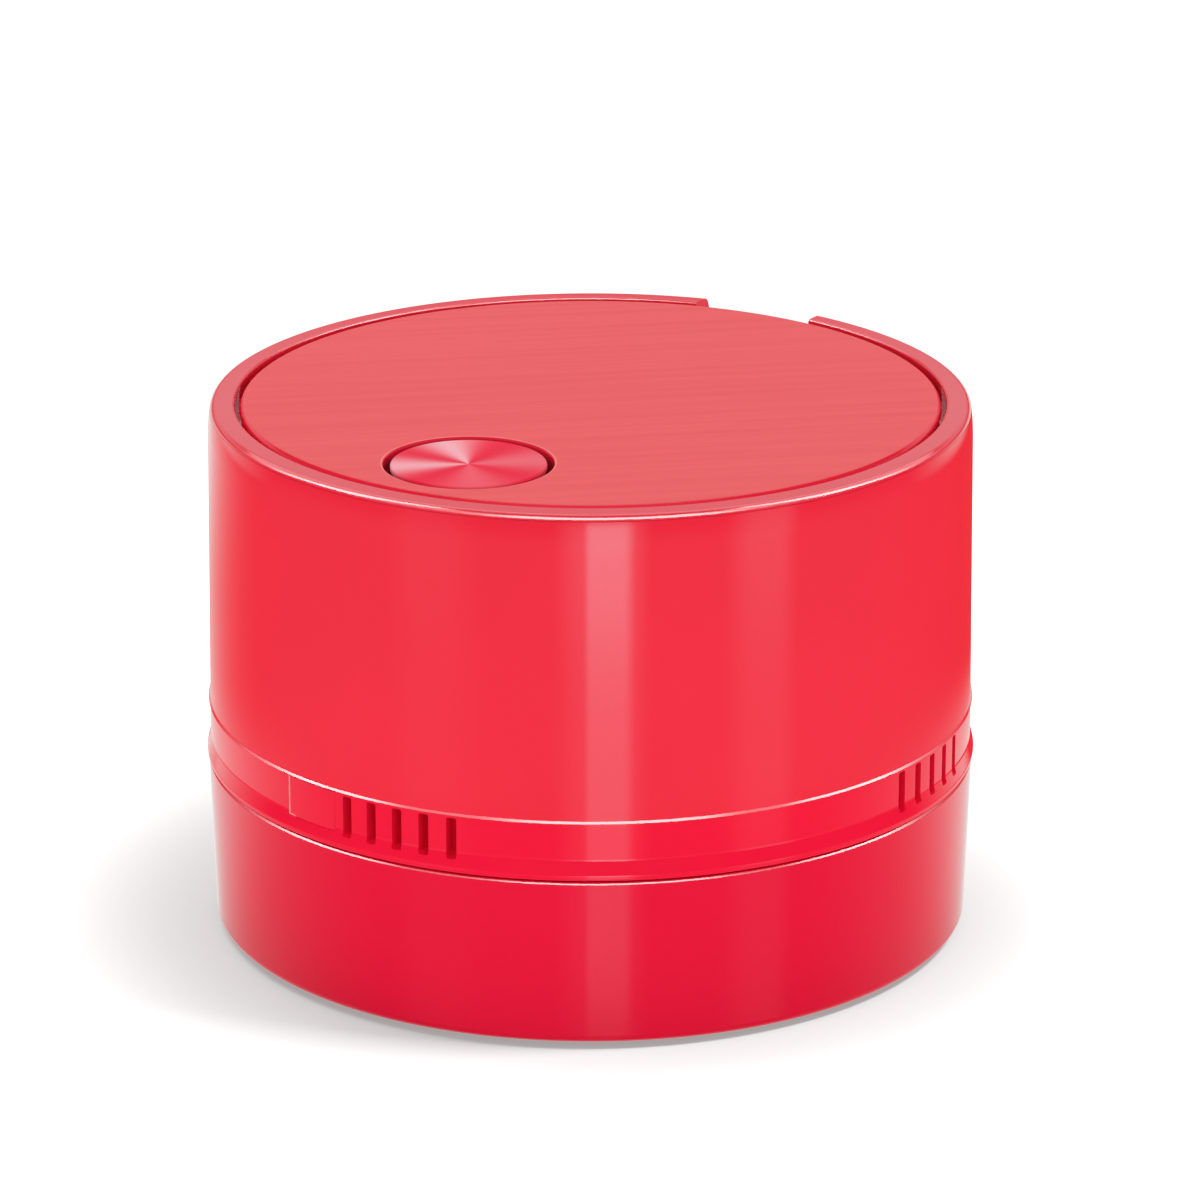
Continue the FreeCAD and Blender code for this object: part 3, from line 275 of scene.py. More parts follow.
class Graph:
    """A short way to write a shader's nodes."""

    def __init__(self, tree):
        self.tree = tree
        tree.nodes.clear()

    def node(self, kind, inputs=(), **settings):
        """Add a node, with settings on it and values or links on its inputs."""
        made = self.tree.nodes.new(kind)
        for key, value in settings.items():
            setattr(made, key, value)
        for key, value in dict(inputs).items():
            if isinstance(value, bpy.types.NodeSocket):
                self.tree.links.new(value, made.inputs[key])
            else:
                made.inputs[key].default_value = value
        return made

    def maths(self, operation, *values):
        return self.node("ShaderNodeMath", dict(enumerate(values)), operation=operation).outputs[0]

    def ramp(self, value, low, high, start=0.0, end=1.0, kind="SMOOTHSTEP"):
        """A smooth step of a value between two levels."""
        inputs = {"Value": value, "From Min": low, "From Max": high, "To Min": start, "To Max": end}
        return self.node("ShaderNodeMapRange", inputs, interpolation_type=kind).outputs["Result"]

    def swell(self, value, begin, full, wane, finish):
        """A smooth rise of a value from 0 to 1, and its fall back to 0."""
        return self.product(self.ramp(value, begin, full), self.ramp(value, wane, finish, 1.0, 0.0))

    def product(self, *values):
        result = values[0]
        for value in values[1:]:
            result = self.maths("MULTIPLY", result, value)
        return result

    def total(self, values):
        result = values[0]
        for value in values[1:]:
            result = self.maths("ADD", result, value)
        return result

    def along(self, vector, direction):
        """The part of a vector along a direction."""
        made = self.node("ShaderNodeVectorMath", {0: vector, 1: direction}, operation="DOT_PRODUCT")
        return made.outputs["Value"]

    def place(self, scale=(1, 1, 1), turn=0.0, offset=(0, 0, 0)):
        """Object coordinates in millimetres, moved, turned about Z and scaled."""
        source = self.node("ShaderNodeTexCoord").outputs["Object"]
        moved = self.node("ShaderNodeVectorMath", {0: source, 1: [v * MM for v in offset]},
                          operation="SUBTRACT").outputs[0]
        spun = self.node("ShaderNodeVectorRotate", {"Vector": moved, "Angle": -math.radians(turn)},
                         rotation_type="Z_AXIS").outputs[0]
        sizes = [s / MM for s in scale]
        return self.node("ShaderNodeVectorMath", {0: spun, 1: sizes}, operation="MULTIPLY").outputs[0]

    def noise(self, vector, scale, detail=2.0, roughness=0.5):
        inputs = {"Vector": vector, "Scale": scale, "Detail": detail, "Roughness": roughness}
        return self.node("ShaderNodeTexNoise", inputs).outputs["Fac"]

    def blend(self, factor, first, second):
        """A colour between two colours."""
        made = self.node("ShaderNodeMix", data_type="RGBA")
        for socket, value in ((made.inputs[0], factor), (made.inputs[6], first), (made.inputs[7], second)):
            if isinstance(value, bpy.types.NodeSocket):
                self.tree.links.new(value, socket)
            else:
                socket.default_value = value
        return made.outputs[2]

    def bump(self, height, strength, distance):
        inputs = {"Height": height, "Strength": strength, "Distance": distance * MM}
        return self.node("ShaderNodeBump", inputs).outputs["Normal"]

    def finish(self, **inputs):
        """The surface shader, with its inputs by name."""
        named = {key.replace("_", " "): value for key, value in inputs.items()}
        shader = self.node("ShaderNodeBsdfPrincipled", named)
        self.node("ShaderNodeOutputMaterial", {"Surface": shader.outputs[0]})


def new_material(name):
    material = bpy.data.materials.new(name)
    material.use_nodes = True
    return material, Graph(material.node_tree)


def colour(red, green, blue, factor=1.0):
    return (red * factor, green * factor, blue * factor, 1.0)


def gloss_red(name, red, green, blue):
    """Polished moulded plastic: an even colour with the faint flow and hairlines of a moulding."""
    material, g = new_material(name)
    flow = g.noise(g.place(), 0.05, 3.0)
    hairs = g.noise(g.place((1, 1, 0.05)), 6.0, 4.0)
    tone = g.blend(g.ramp(flow, 0.3, 0.7), colour(red, green, blue, 0.985), colour(red, green, blue, 1.015))
    rough = g.ramp(hairs, 0.2, 0.8, 0.045, 0.075)
    skin = g.bump(g.noise(g.place(), 0.35, 1.0), 0.02, 0.02)
    g.finish(Base_Color=tone, Roughness=rough, IOR=1.5, Normal=skin)
    return material


def flap_painted_highlight():
    """The vent band's red, with a pale painted highlight along the flap's free edge and its lower corner."""
    material, g = new_material("flap_painted_highlight")
    edge = towards(FLAP_LEFT) * BAND_REACH
    spot = g.place(offset=(edge.x, edge.y, flap_bottom))
    inwards = g.along(spot, towards(FLAP_LEFT + 90))
    above = g.along(spot, (0, 0, 1))
    # Painted highlight: a pale strip along the free edge and along the foot, made patchy and rougher.
    side = g.ramp(inwards, 0.16, 0.30, 1.0, 0.0)
    foot = g.product(g.ramp(above, 0.10, 0.22, 1.0, 0.0), g.ramp(inwards, 0.9, 1.4, 1.0, 0.0))
    patchy = g.ramp(g.noise(g.place(), 1.1, 2.0), 0.25, 0.6, 0.55, 1.0)
    painted_edge_highlight = g.product(g.maths("MAXIMUM", side, foot), patchy)
    tone = g.blend(painted_edge_highlight, colour(*BASE_RED), (0.90, 0.24, 0.24, 1))
    g.finish(Base_Color=tone, Roughness=g.ramp(painted_edge_highlight, 0.0, 1.0, 0.06, 0.4), IOR=1.5)
    return material


def satin_plastic(name, red, green, blue, roughness=0.42):
    """Fine spark-eroded moulded plastic."""
    material, g = new_material(name)
    grain = g.noise(g.place(), 3.5, 3.0)
    wear = g.noise(g.place(), 0.12, 2.0)
    tone = g.blend(wear, colour(red, green, blue, 0.9), colour(red, green, blue, 1.1))
    rough = g.ramp(grain, 0.3, 0.7, roughness - 0.05, roughness + 0.05)
    g.finish(Base_Color=tone, Roughness=rough, Normal=g.bump(grain, 0.25, 0.05))
    return material


def brushed_cover():
    """Dyed metal sheet with fine straight brushing and deeper dye on its rounded edges.

    A thin pale ring round the button's hole is a painted highlight.
    """
    material, g = new_material("brushed_plate")
    turn = 38.0
    fine = g.noise(g.place((0.05, 1, 1), turn), 9.0, 3.0, 0.65)
    broad = g.noise(g.place((0.012, 0.5, 1), turn), 1.4, 4.0, 0.6)
    streaks = g.maths("ADD", g.product(fine, 0.6), g.product(broad, 0.4))
    sheet = g.blend(g.ramp(streaks, 0.3, 0.7), (0.86, 0.076, 0.084, 1), (0.98, 0.118, 0.128, 1))
    upright = g.along(g.node("ShaderNodeNewGeometry").outputs["Normal"], (0, 0, 1))
    flat = g.ramp(upright, 0.90, 0.985)
    from_hole = g.node("ShaderNodeVectorMath", {0: g.place(offset=button_spot)}, operation="LENGTH")
    beside = g.ramp(from_hole.outputs["Value"], disc_reach + 0.85, disc_reach + 1.15, 1.0, 0.0)
    # Painted highlight: a pale ring on the upper part of the hole's rounded edge and the flat just beside it.
    painted_hole_glint = g.product(beside, g.ramp(upright, 0.80, 0.88))
    tone = g.blend(painted_hole_glint, g.blend(flat, (0.80, 0.016, 0.045, 1), sheet), (1.0, 0.30, 0.28, 1))
    rough = g.ramp(flat, 0.0, 1.0, 0.12, g.ramp(fine, 0.3, 0.7, 0.34, 0.46), kind="LINEAR")
    metal = g.ramp(flat, 0.0, 1.0, 0.0, 0.12, kind="LINEAR")
    marks = g.bump(fine, 0.12, 0.02)
    g.finish(Base_Color=tone, Metallic=metal, Roughness=rough, Specular_IOR_Level=0.3, Normal=marks)
    return material


def spun_button():
    """Dyed metal with fine turned rings, and pale wedges of painted highlight at fixed angles round its
    middle.
    """
    material, g = new_material("spun_face")
    spot = g.place(offset=button_spot)
    parts = g.node("ShaderNodeSeparateXYZ", {0: spot}).outputs
    radius = g.maths("SQRT", g.maths("ADD", g.maths("POWER", parts[0], 2.0), g.maths("POWER", parts[1], 2.0)))
    ring = g.node("ShaderNodeCombineXYZ", {0: radius}).outputs[0]
    rings = g.noise(ring, 9.0, 3.0, 0.6)
    azimuth = g.maths("ARCTAN2", parts[0], g.product(parts[1], -1.0))
    # Each painted highlight wedge: its azimuth round the button's middle, how pale it is, and how tight.
    painted_wedges = ((36, 0.2, 8), (128, 0.33, 8), (229, 1.0, 14), (306, 0.95, 16))
    painted_sheen = []
    for middle, pale, tight in painted_wedges:
        facing_it = g.maths("COSINE", g.maths("SUBTRACT", azimuth, math.radians(middle)))
        painted_sheen.append(g.product(g.maths("POWER", g.maths("MAXIMUM", facing_it, 0.0), tight), pale))
    painted_wedge_light = g.product(g.total(painted_sheen), g.ramp(rings, 0.3, 0.7, 0.9, 1.05))
    tone = g.blend(painted_wedge_light, (0.86, 0.015, 0.055, 1), (0.93, 0.44, 0.49, 1))
    tangent = g.node("ShaderNodeVectorMath", {0: spot, 1: (0, 0, 1)}, operation="CROSS_PRODUCT").outputs[0]
    around = g.node("ShaderNodeVectorMath", {0: tangent}, operation="NORMALIZE").outputs[0]
    g.finish(Base_Color=tone, Roughness=0.3, Anisotropic=0.8, Tangent=around,
             Specular_IOR_Level=0.02, Normal=g.bump(rings, 0.08, 0.01))
    return material


def bright_metal(name, red, green, blue, roughness=0.25):
    """Plated or drawn metal, a little uneven in its gloss and tone."""
    material, g = new_material(name)
    marks = g.noise(g.place((1, 1, 0.3)), 1.2, 1.0)
    stain = g.noise(g.place(), 0.4, 2.0)
    tone = g.blend(stain, colour(red, green, blue, 0.9), colour(red, green, blue, 1.08))
    rough = g.ramp(marks, 0.3, 0.7, roughness - 0.05, roughness + 0.05)
    g.finish(Base_Color=tone, Metallic=1.0, Roughness=rough)
    return material


def enamelled_wire():
    """Fine enamelled copper wire, wound round."""
    material, g = new_material("copper")
    wires = g.node("ShaderNodeTexWave", {"Vector": g.place(), "Scale": 1.6, "Distortion": 1.2},
                   wave_type="RINGS", rings_direction="Z").outputs["Fac"]
    # The tone is painted shade and highlight: darker in the grooves between turns, paler on their crests.
    tone = g.blend(wires, (0.24, 0.07, 0.02, 1), (0.62, 0.24, 0.09, 1))
    g.finish(Base_Color=tone, Metallic=0.8, Roughness=0.3, Normal=g.bump(wires, 0.5, 0.15))
    return material


def circuit_board():
    """Green lacquered board with faint tracks."""
    material, g = new_material("board")
    tracks = g.node("ShaderNodeTexBrick", {"Vector": g.place((1, 1, 1), 35.0), "Scale": 0.45,
                                           "Color1": (0.01, 0.09, 0.04, 1), "Color2": (0.015, 0.13, 0.05, 1),
                                           "Mortar": (0.03, 0.2, 0.08, 1), "Mortar Size": 0.03})
    g.finish(Base_Color=tracks.outputs["Color"], Roughness=0.3)
    return material


def cell_wrap(node):
    """A plain shrunk wrap: a pale sleeve with a dark band at one end and bare metal beyond."""
    material, g = new_material("cell_wrap_" + node)
    low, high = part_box(node)
    along = g.node("ShaderNodeSeparateXYZ", {0: g.place()}).outputs[1]
    share = g.ramp(along, low.y / MM, high.y / MM, kind="LINEAR")
    dark = g.maths("MULTIPLY", g.maths("GREATER_THAN", share, 0.74), g.maths("LESS_THAN", share, 0.955))
    sleeve = g.maths("MULTIPLY", g.maths("GREATER_THAN", share, 0.03), g.maths("LESS_THAN", share, 0.965))
    grain = g.noise(g.place(), 2.0, 2.0)
    pale = g.blend(grain, (0.60, 0.63, 0.66, 1), (0.70, 0.73, 0.76, 1))
    wrap = g.blend(dark, pale, (0.035, 0.10, 0.16, 1))
    tone = g.blend(sleeve, (0.75, 0.74, 0.72, 1), wrap)
    metal = g.ramp(sleeve, 0.0, 1.0, 1.0, 0.25, kind="LINEAR")
    g.finish(Base_Color=tone, Metallic=metal, Roughness=0.28, Normal=g.bump(grain, 0.05, 0.05))
    return material


def woven_filter():
    """Fine square weave."""
    material, g = new_material("filter_cloth")
    bands = []
    for direction in ("X", "Y"):
        bands.append(g.node("ShaderNodeTexWave", {"Vector": g.place(), "Scale": 0.42},
                            wave_type="BANDS", bands_direction=direction).outputs["Fac"])
    height = g.maths("MAXIMUM", bands[0], bands[1])
    dust = g.noise(g.place(), 0.15, 3.0)
    # The tone is painted shade: darker in the gaps between the threads, paler on them.
    tone = g.blend(height, (0.42, 0.42, 0.40, 1), (0.83, 0.83, 0.80, 1))
    tone = g.blend(g.ramp(dust, 0.5, 0.8, 0.0, 0.25), tone, (0.55, 0.52, 0.48, 1))
    g.finish(Base_Color=tone, Roughness=0.85, Normal=g.bump(height, 0.8, 0.25))
    return material


def felt():
    """Pressed wool pad."""
    material, g = new_material("felt")
    fibres = g.noise(g.place(), 3.0, 6.0, 0.8)
    tone = g.blend(fibres, (0.012, 0.012, 0.013, 1), (0.045, 0.045, 0.048, 1))
    g.finish(Base_Color=tone, Roughness=0.95, Sheen_Weight=0.3, Normal=g.bump(fibres, 0.9, 0.15))
    return material


def soft_rubber():
    """Black rubber with a faint bloom."""
    material, g = new_material("black_rubber")
    bloom = g.noise(g.place(), 1.2, 4.0)
    tone = g.blend(bloom, (0.012, 0.012, 0.012, 1), (0.035, 0.034, 0.033, 1))
    g.finish(Base_Color=tone, Roughness=0.7, Normal=g.bump(bloom, 0.2, 0.05))
    return material


def bristle_nylon():
    """Black nylon filament."""
    material, g = new_material("nylon")
    shade = g.noise(g.place((1, 1, 0.2)), 2.5, 2.0)
    tone = g.blend(shade, (0.012, 0.012, 0.013, 1), (0.05, 0.048, 0.046, 1))
    g.finish(Base_Color=tone, Roughness=0.38)
    return material


def floor_paper():
    """Plain studio floor, which glows a short way out from the object and so hides the shadows' far ends."""
    material, g = new_material("floor")
    tooth = g.noise(g.place(), 0.02, 2.0)
    tone = g.blend(tooth, (0.147, 0.147, 0.147, 1), (0.153, 0.153, 0.153, 1))
    far = g.node("ShaderNodeVectorMath", {0: g.place()}, operation="LENGTH").outputs["Value"]
    # The glow is full from 82 to 110 mm out from the middle, weak at 200 mm and stronger again far out.
    beyond = g.total([g.ramp(far, 110.0, 200.0, 1.0, 0.3), g.ramp(far, 200.0, 460.0, 0.0, 0.35)])
    glow = g.product(g.ramp(far, 43.0, 82.0, 0.333, 1.0), beyond)
    g.finish(Base_Color=tone, Roughness=1.0, Specular_IOR_Level=0.0, Emission_Color=(1, 1, 1, 1),
             Emission_Strength=glow)
    return material


MATERIALS = {
    "shell_gloss": gloss_red("shell_gloss", 0.735, 0.018, 0.041),
    "base_gloss": gloss_red("base_gloss", *BASE_RED),
    "brushed_plate": brushed_cover(),
    "spun_face": spun_button(),
    "moulded_red": satin_plastic("moulded_red", 0.60, 0.012, 0.028),
    "dark_plastic": satin_plastic("dark_plastic", 0.018, 0.018, 0.020),
    "white_plastic": satin_plastic("white_plastic", 0.68, 0.68, 0.65),
    "steel": bright_metal("steel", 0.62, 0.62, 0.64, 0.38),
    "brass": bright_metal("brass", 0.78, 0.56, 0.24),
    "copper": enamelled_wire(),
    "magnet": satin_plastic("magnet", 0.03, 0.03, 0.034, 0.6),
    "board": circuit_board(),
    "black_rubber": soft_rubber(),
    "nylon": bristle_nylon(),
    "filter_cloth": woven_filter(),
    "felt": felt(),
    "wire_red": satin_plastic("wire_red", 0.55, 0.012, 0.012, 0.3),
    "wire_black": satin_plastic("wire_black", 0.012, 0.012, 0.012, 0.3),
}


def dress(piece, material):
    """Put one material on a piece."""
    piece.data.materials.clear()
    piece.data.materials.append(material)


def stand_in(piece, node, body):
    """Let a finished piece stand for a node of the model."""
    slot = node_slots[node]
    dress(piece, MATERIALS[slot])
    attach(piece, body)
    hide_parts(node)
    return piece


# ---------------------------------------------------------------- pieces

def make_outer_shell():
    """The tall glossy shell, with a small flare at its foot and a slight shoulder under its rim."""
    wall = 1.8
    rim_reach = shell_reach - 0.5
    opening = 39.95
    ledge_top = cover_bottom - 1.4
    ledge_bottom = ledge_top - 1.5
    ledge_inner = 37.0
    ledge_taper = 2.8
    flare_in = shell_reach - 0.12
    flare_out = shell_reach + 0.14
    flare_top = shell_bottom + (flare_out - flare_in) / math.tan(math.radians(CHAMFER_TILT))
    shoulder = 2.3
    shoulder_lean = 0.3
    top_slope = 0.13
    shell = turned("outer_shell_skin", [
        (shell_reach - wall / 2, shell_bottom, 0),
        (flare_out, shell_bottom, 0.04),
        (flare_in, flare_top, 0.1),
        (rim_reach, rim_top - shoulder, 25.0),
        (rim_reach - shoulder_lean, rim_top - top_slope, 0.7),
        (opening, rim_top, 0.3),
        (opening, ledge_top, 0),
        (ledge_inner, ledge_top, 0.15),
        (ledge_inner, ledge_bottom, 0.15),
        (rim_reach - wall, ledge_bottom - ledge_taper, 0.5),
        (shell_reach - wall, shell_bottom, 0),
    ])
    boss_height = 8
    boss_top = motor_bottom + boss_height
    boss_roof = 1
    web_half = 0.8
    pilot_reach = 0.95
    bosses = []
    pilots = []
    for angle in DIAGONALS:
        x, y = POST_RING * cosine(angle), POST_RING * sine(angle)
        bosses.append(prism(circle(POST_REACH, x, y), motor_bottom, boss_top))
        web = [(POST_RING, -web_half), (rim_reach - wall / 2, -web_half),
               (rim_reach - wall / 2, web_half), (POST_RING, web_half)]
        bosses.append(prism(web, motor_bottom, boss_top, Matrix.Rotation(math.radians(angle), 4, "Z")))
        pilot = circle(pilot_reach, x, y, steps=24)
        pilots.append(prism(pilot, motor_bottom - PAST, boss_top - boss_roof))
    combine(shell, bosses, "UNION")
    notch_deep = 3.2
    notch_half = 7.6
    notch_slope = 0.6
    notch_foot = notch_half - notch_slope
    notch_bottom = rim_top - notch_deep
    notch_inner = 20    # the notch's tool begins this far behind the axis, clear of the shell
    notch = [(-notch_half, rim_top + PAST), (notch_half, rim_top + PAST),
             (notch_foot, notch_bottom), (-notch_foot, notch_bottom)]
    across = Matrix.Rotation(math.radians(90), 4, "X")
    combine(shell, [prism(notch, -shell_reach - PAST, -notch_inner, across)] + pilots, "DIFFERENCE")
    return stand_in(shell, "outer_shell", "housing")


def make_vent_band():
    """The ring under the shell: flared foot, slots in four groups, charging window, spigots and floor."""
    inner = BAND_REACH - 1.95
    lip_bottom = base_top + JOINT_GAP
    lip_top = lip_bottom + 1.1
    lip_upright = 0.6
    flare_height = 2.2
    eye = 11.0
    low_outer = SPIGOT_REACH - 0.15
    low_inner = SPIGOT_REACH - 1.6
    upper_bore = 40.0
    root_top = shell_bottom + 0.5       # the bore widens between these heights, under the upper spigot
    root_bottom = shell_bottom - 0.9
    band = turned("vent_band_skin", [
        (eye, lip_bottom, 0.25),
        (low_inner, lip_bottom, 0),
        (low_inner, low_spigot_bottom, 0.2),
        (low_outer, low_spigot_bottom, 0.2),
        (low_outer, lip_bottom, 0),
        (lip_reach, lip_bottom, 0.2),
        (lip_reach, lip_bottom + lip_upright, 0.5),
        (BAND_REACH, lip_bottom + flare_height, 1.0),
        (BAND_REACH, shell_bottom, 0.1),
        (SPIGOT_REACH, shell_bottom, 0),
        (SPIGOT_REACH, spigot_top, 0.2),
        (upper_bore, spigot_top, 0.2),
        (upper_bore, root_top, 0),
        (inner, root_bottom, 0),
        (inner, lip_top, 0),
        (eye, lip_top, 0.25),
    ])
    posts = []
    holes = []
    post_bottom = lip_top - 0.2
    post_top = shell_bottom + 2.2
    screw_reach = 1.4
    head_reach = 2.4
    head_deep = 1.9
    for angle in DIAGONALS:
        x, y = POST_RING * cosine(angle), POST_RING * sine(angle)
        posts.append(prism(circle(POST_REACH, x, y), post_bottom, post_top))
        holes.append(prism(circle(screw_reach, x, y, steps=32), lip_bottom - PAST, post_top + PAST))
        holes.append(prism(circle(head_reach, x, y, steps=32), lip_bottom - PAST, lip_bottom + head_deep))
    combine(band, posts, "UNION")
    slot_half = 0.6
    slot_bottom, slot_top = 21.4, 26.1
    slot_corner = 0.25
    slot_inner = inner - 1.6
    pitch = 4.35
    slot = rectangle(slot_half, slot_bottom, slot_top, slot_corner)
    for group in (0, 90, 180, 270):
        for step in range(-2, 3):
            holes.append(prism(slot, slot_inner, BAND_REACH + PAST, facing(group + step * pitch)))
    hairline = 0.03
    top_gap = 0.02
    pocket = 1.17       # room for the flap's stub, which turns inwards beside the pin
    keep_off = 0.01     # keeps the pocket's ends clear of the window's
    window_left = FLAP_LEFT - math.degrees(hairline / BAND_REACH)
    window = sector(inner - PAST, BAND_REACH + PAST, window_left, FLAP_RIGHT)
    window_bottom, window_top = flap_bottom - hairline, shell_bottom - top_gap
    holes.append(prism(window, window_bottom, window_top))
    combine(band, holes, "DIFFERENCE")
    stub_room = prism(circle(pocket, *FLAP_PIN), window_bottom + keep_off, window_top - keep_off)
    combine(band, [stub_room], "DIFFERENCE")
    return stand_in(band, "vent_band", "housing")


def make_port_flap():
    """The door over the charging socket: a curved leaf that turns on an upright pin near its right edge."""
    thick = 1.2
    slant = 0.12        # degrees that the free edge leans back, so that it clears the window as it swings
    stub_end = FLAP_RIGHT - 0.04
    pin_hole = 0.4
    outline = sector(BAND_REACH - thick, BAND_REACH, FLAP_LEFT, stub_end)
    inner_corner = towards(FLAP_LEFT + slant) * (BAND_REACH - thick)
    outline[0] = (inner_corner.x, inner_corner.y)
    panel = prism(outline, flap_bottom, flap_top)
    combine(panel, [prism(circle(KNUCKLE, *FLAP_PIN), flap_bottom, flap_top)], "UNION")
    bore = prism(circle(pin_hole, *FLAP_PIN, steps=24), flap_bottom - PAST, flap_top + PAST)
    combine(panel, [bore], "DIFFERENCE")
    panel.name = "port_flap_skin"
    stand_in(panel, "port_flap", "flap")
    dress(panel, flap_painted_highlight())


def make_dust_cup():
    """The glossy dust cup under the head, with a chamfer round its top edge."""
    wall = 1.7
    foot_reach = base_reach - 0.6
    seat = 14.5
    seat_inner = 39.6
    seat_edge = seat - 0.8
    seat_root = seat - 2.8
    slant = 0.34
    cup = turned("dust_cup_skin", [
        (foot_reach - wall, base_bottom, 0),
        (foot_reach, base_bottom, 1.0),
        (base_reach, base_top - slant * cosine(CHAMFER_TILT), 0.1),
        (base_reach - slant * sine(CHAMFER_TILT), base_top, 0.06),
        (base_reach - wall, base_top, 0.25),
        (base_reach - wall, seat, 0),
        (seat_inner, seat, 0),
        (seat_inner, seat_edge, 0),
        (foot_reach - wall, seat_root, 0),
    ])
    stand_in(cup, "dust_cup", "dust_box")
    dress(cup, gloss_red("cup_gloss", 0.675, 0.0065, 0.035))
    return cup


def make_cover_plate():
    """The brushed sheet on top, rounded at its edge and round the button's hole."""
    inset = 1.2  # width of the turned strip at each edge, beside the flat faces
    edge_round = 0.7
    hole_reach = disc_reach + 0.75
    hole_round = 0.3
    hole_steps = 160
    bm = bmesh.new()
    edge = rounded([(cover_reach - inset, cover_bottom, 0), (cover_reach, cover_bottom, 0),
                    (cover_reach, cover_top, edge_round), (cover_reach - inset, cover_top, 0)])
    hole = rounded([(hole_reach + inset, cover_bottom, 0), (hole_reach, cover_bottom, 0),
                    (hole_reach, cover_top, hole_round), (hole_reach + inset, cover_top, 0)])
    outer = lathe(bm, edge, SEGMENTS, 0, 0, False)
    inner = lathe(bm, hole, hole_steps, button_x, button_y, False)
    for end in (0, -1):
        flat_between(bm, [[ring[end] for ring in outer], [ring[end] for ring in inner]])
    stand_in(new_piece("cover_plate_skin", bm), "cover_plate", "top_cover")


def make_button_disc():
    """The button's spun metal face, very slightly dished."""
    dish = 0.1
    edge_round = 0.25
    disc = turned("button_disc_skin", [
        (0, disc_low.z / MM, 0),
        (disc_reach, disc_low.z / MM, 0),
        (disc_reach, button_top, edge_round),
        (0, button_top - dish, 0),
    ], segments=192, x=button_x, y=button_y)
    stand_in(disc, "button_disc", "power_button")


def make_button_spring():
    """The button's return spring, a round wire wound in open turns."""
    wire = 0.3
    turns = 5
    turn_steps = 36
    sides = 10
    low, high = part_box("button_spring")
    coil_reach = (high.x - low.x) / 2 / MM - wire
    start, end = low.z / MM + wire, high.z / MM - wire
    steps = turns * turn_steps
    section = circle(wire, coil_reach, 0.0, sides)
    bm = bmesh.new()
    rings = []
    for step in range(steps + 1):
        around = 360 * step / turn_steps
        height = start + (end - start) * step / steps
        rings.append([bm.verts.new((button_x + reach * cosine(around), button_y + reach * sine(around),
                                    height + rise)) for reach, rise in section])
    skin(bm, rings)
    spring = new_piece("button_spring_wire", bm)
    stand_in(spring, "button_spring", "power_button")
    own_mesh(spring)


def make_bristles():
    """Tufts of straight filaments that spread a little towards the desk."""
    rng = random.Random(7)
    ring = 24.5
    tufts = 30
    fibres = 26
    tuft_reach = 0.78
    golden_angle = 137.508
    least_spread = 1.15
    more_spread = 0.12
    uneven = 0.25
    low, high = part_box("brush_bristles")
    bottom, top = low.z / MM, high.z / MM
    bm = bmesh.new()
    for tuft in range(tufts):
        angle = 360 * tuft / tufts
        centre = Vector((ring * cosine(angle), ring * sine(angle), 0))
        for fibre in range(fibres):
            reach = tuft_reach * math.sqrt((fibre + 0.5) / fibres)
            around = fibre * golden_angle
            offset = Vector((reach * cosine(around), reach * sine(around), 0))
            spread = least_spread + more_spread * rng.random()
            tip_height = bottom + uneven * rng.random()
            add_fibre(bm, centre + offset, centre + offset * spread, tip_height, top)
    bristles = new_piece("brush_bristle_fibres", bm)
    stand_in(bristles, "brush_bristles", "dust_box")


def add_fibre(bm, root, tip, bottom, top):
    """One tapered filament."""
    sides = 5
    # Each ring of the filament: its middle, its height and its radius.
    levels = ((root, top, 0.085), (root.lerp(tip, 0.5), (top + bottom) / 2, 0.08), (tip, bottom, 0.055))
    skin(bm, [[bm.verts.new((x, y, height)) for x, y in circle(radius, spot.x, spot.y, sides)]
              for spot, height, radius in levels])


def dress_nodes():
    """Give every node of the model its material."""
    for name, node in nodes.items():
        slot = node_slots[name]
        dress(node, cell_wrap(name) if slot == "cell_wrap" else MATERIALS[slot])


# ---------------------------------------------------------------- stage

def only_for(light, pieces):
    """Let a light fall on some pieces only."""
    group = bpy.data.collections.new(light.name + "_falls_on")
    for piece in pieces:
        group.objects.link(piece)
    light.light_linking.receiver_collection = group


def make_floor():
    """The round floor that the object stands on."""
    reach = 480
    bm = bmesh.new()
    bmesh.ops.create_circle(bm, cap_ends=True, segments=192, radius=reach)
    floor = new_piece("floor", bm)
    dress(floor, floor_paper())
    floor.visible_glossy = False
    return floor


def strip_lights(g, azimuth, elevation):
    """The soft upright strips, which the walls mirror as bright bands."""
    # Each strip: where it begins and is full, where it starts to fade and ends, and its radiance.
    strips = (
        (-2.2, 0.0, 9.5, 13.5, 2.9),
        (-12.0, -2.0, 11.0, 18.5, 1.0),
        (38.0, 50.0, 57.0, 65.0, 0.85),
        (-64.0, -52.0, -44.0, -30.0, 0.27),
    )
    # They are weak where the dust cup mirrors them, full where the shell does, and gone at the horizon.
    fade = g.total([g.ramp(elevation, -27.0, -26.2, 0.03, 0.23), g.ramp(elevation, -25.0, -19.0, 0.0, 0.19),
                    g.ramp(elevation, -19.0, -17.0, 0.0, 0.58), g.ramp(elevation, -6.0, -1.0, 0.0, -1.0)])
    lights = []
    for begin, full, wane, finish, radiance in strips:
        lights.append(g.product(g.swell(azimuth, begin, full, wane, finish), fade, radiance))
    return g.total(lights)


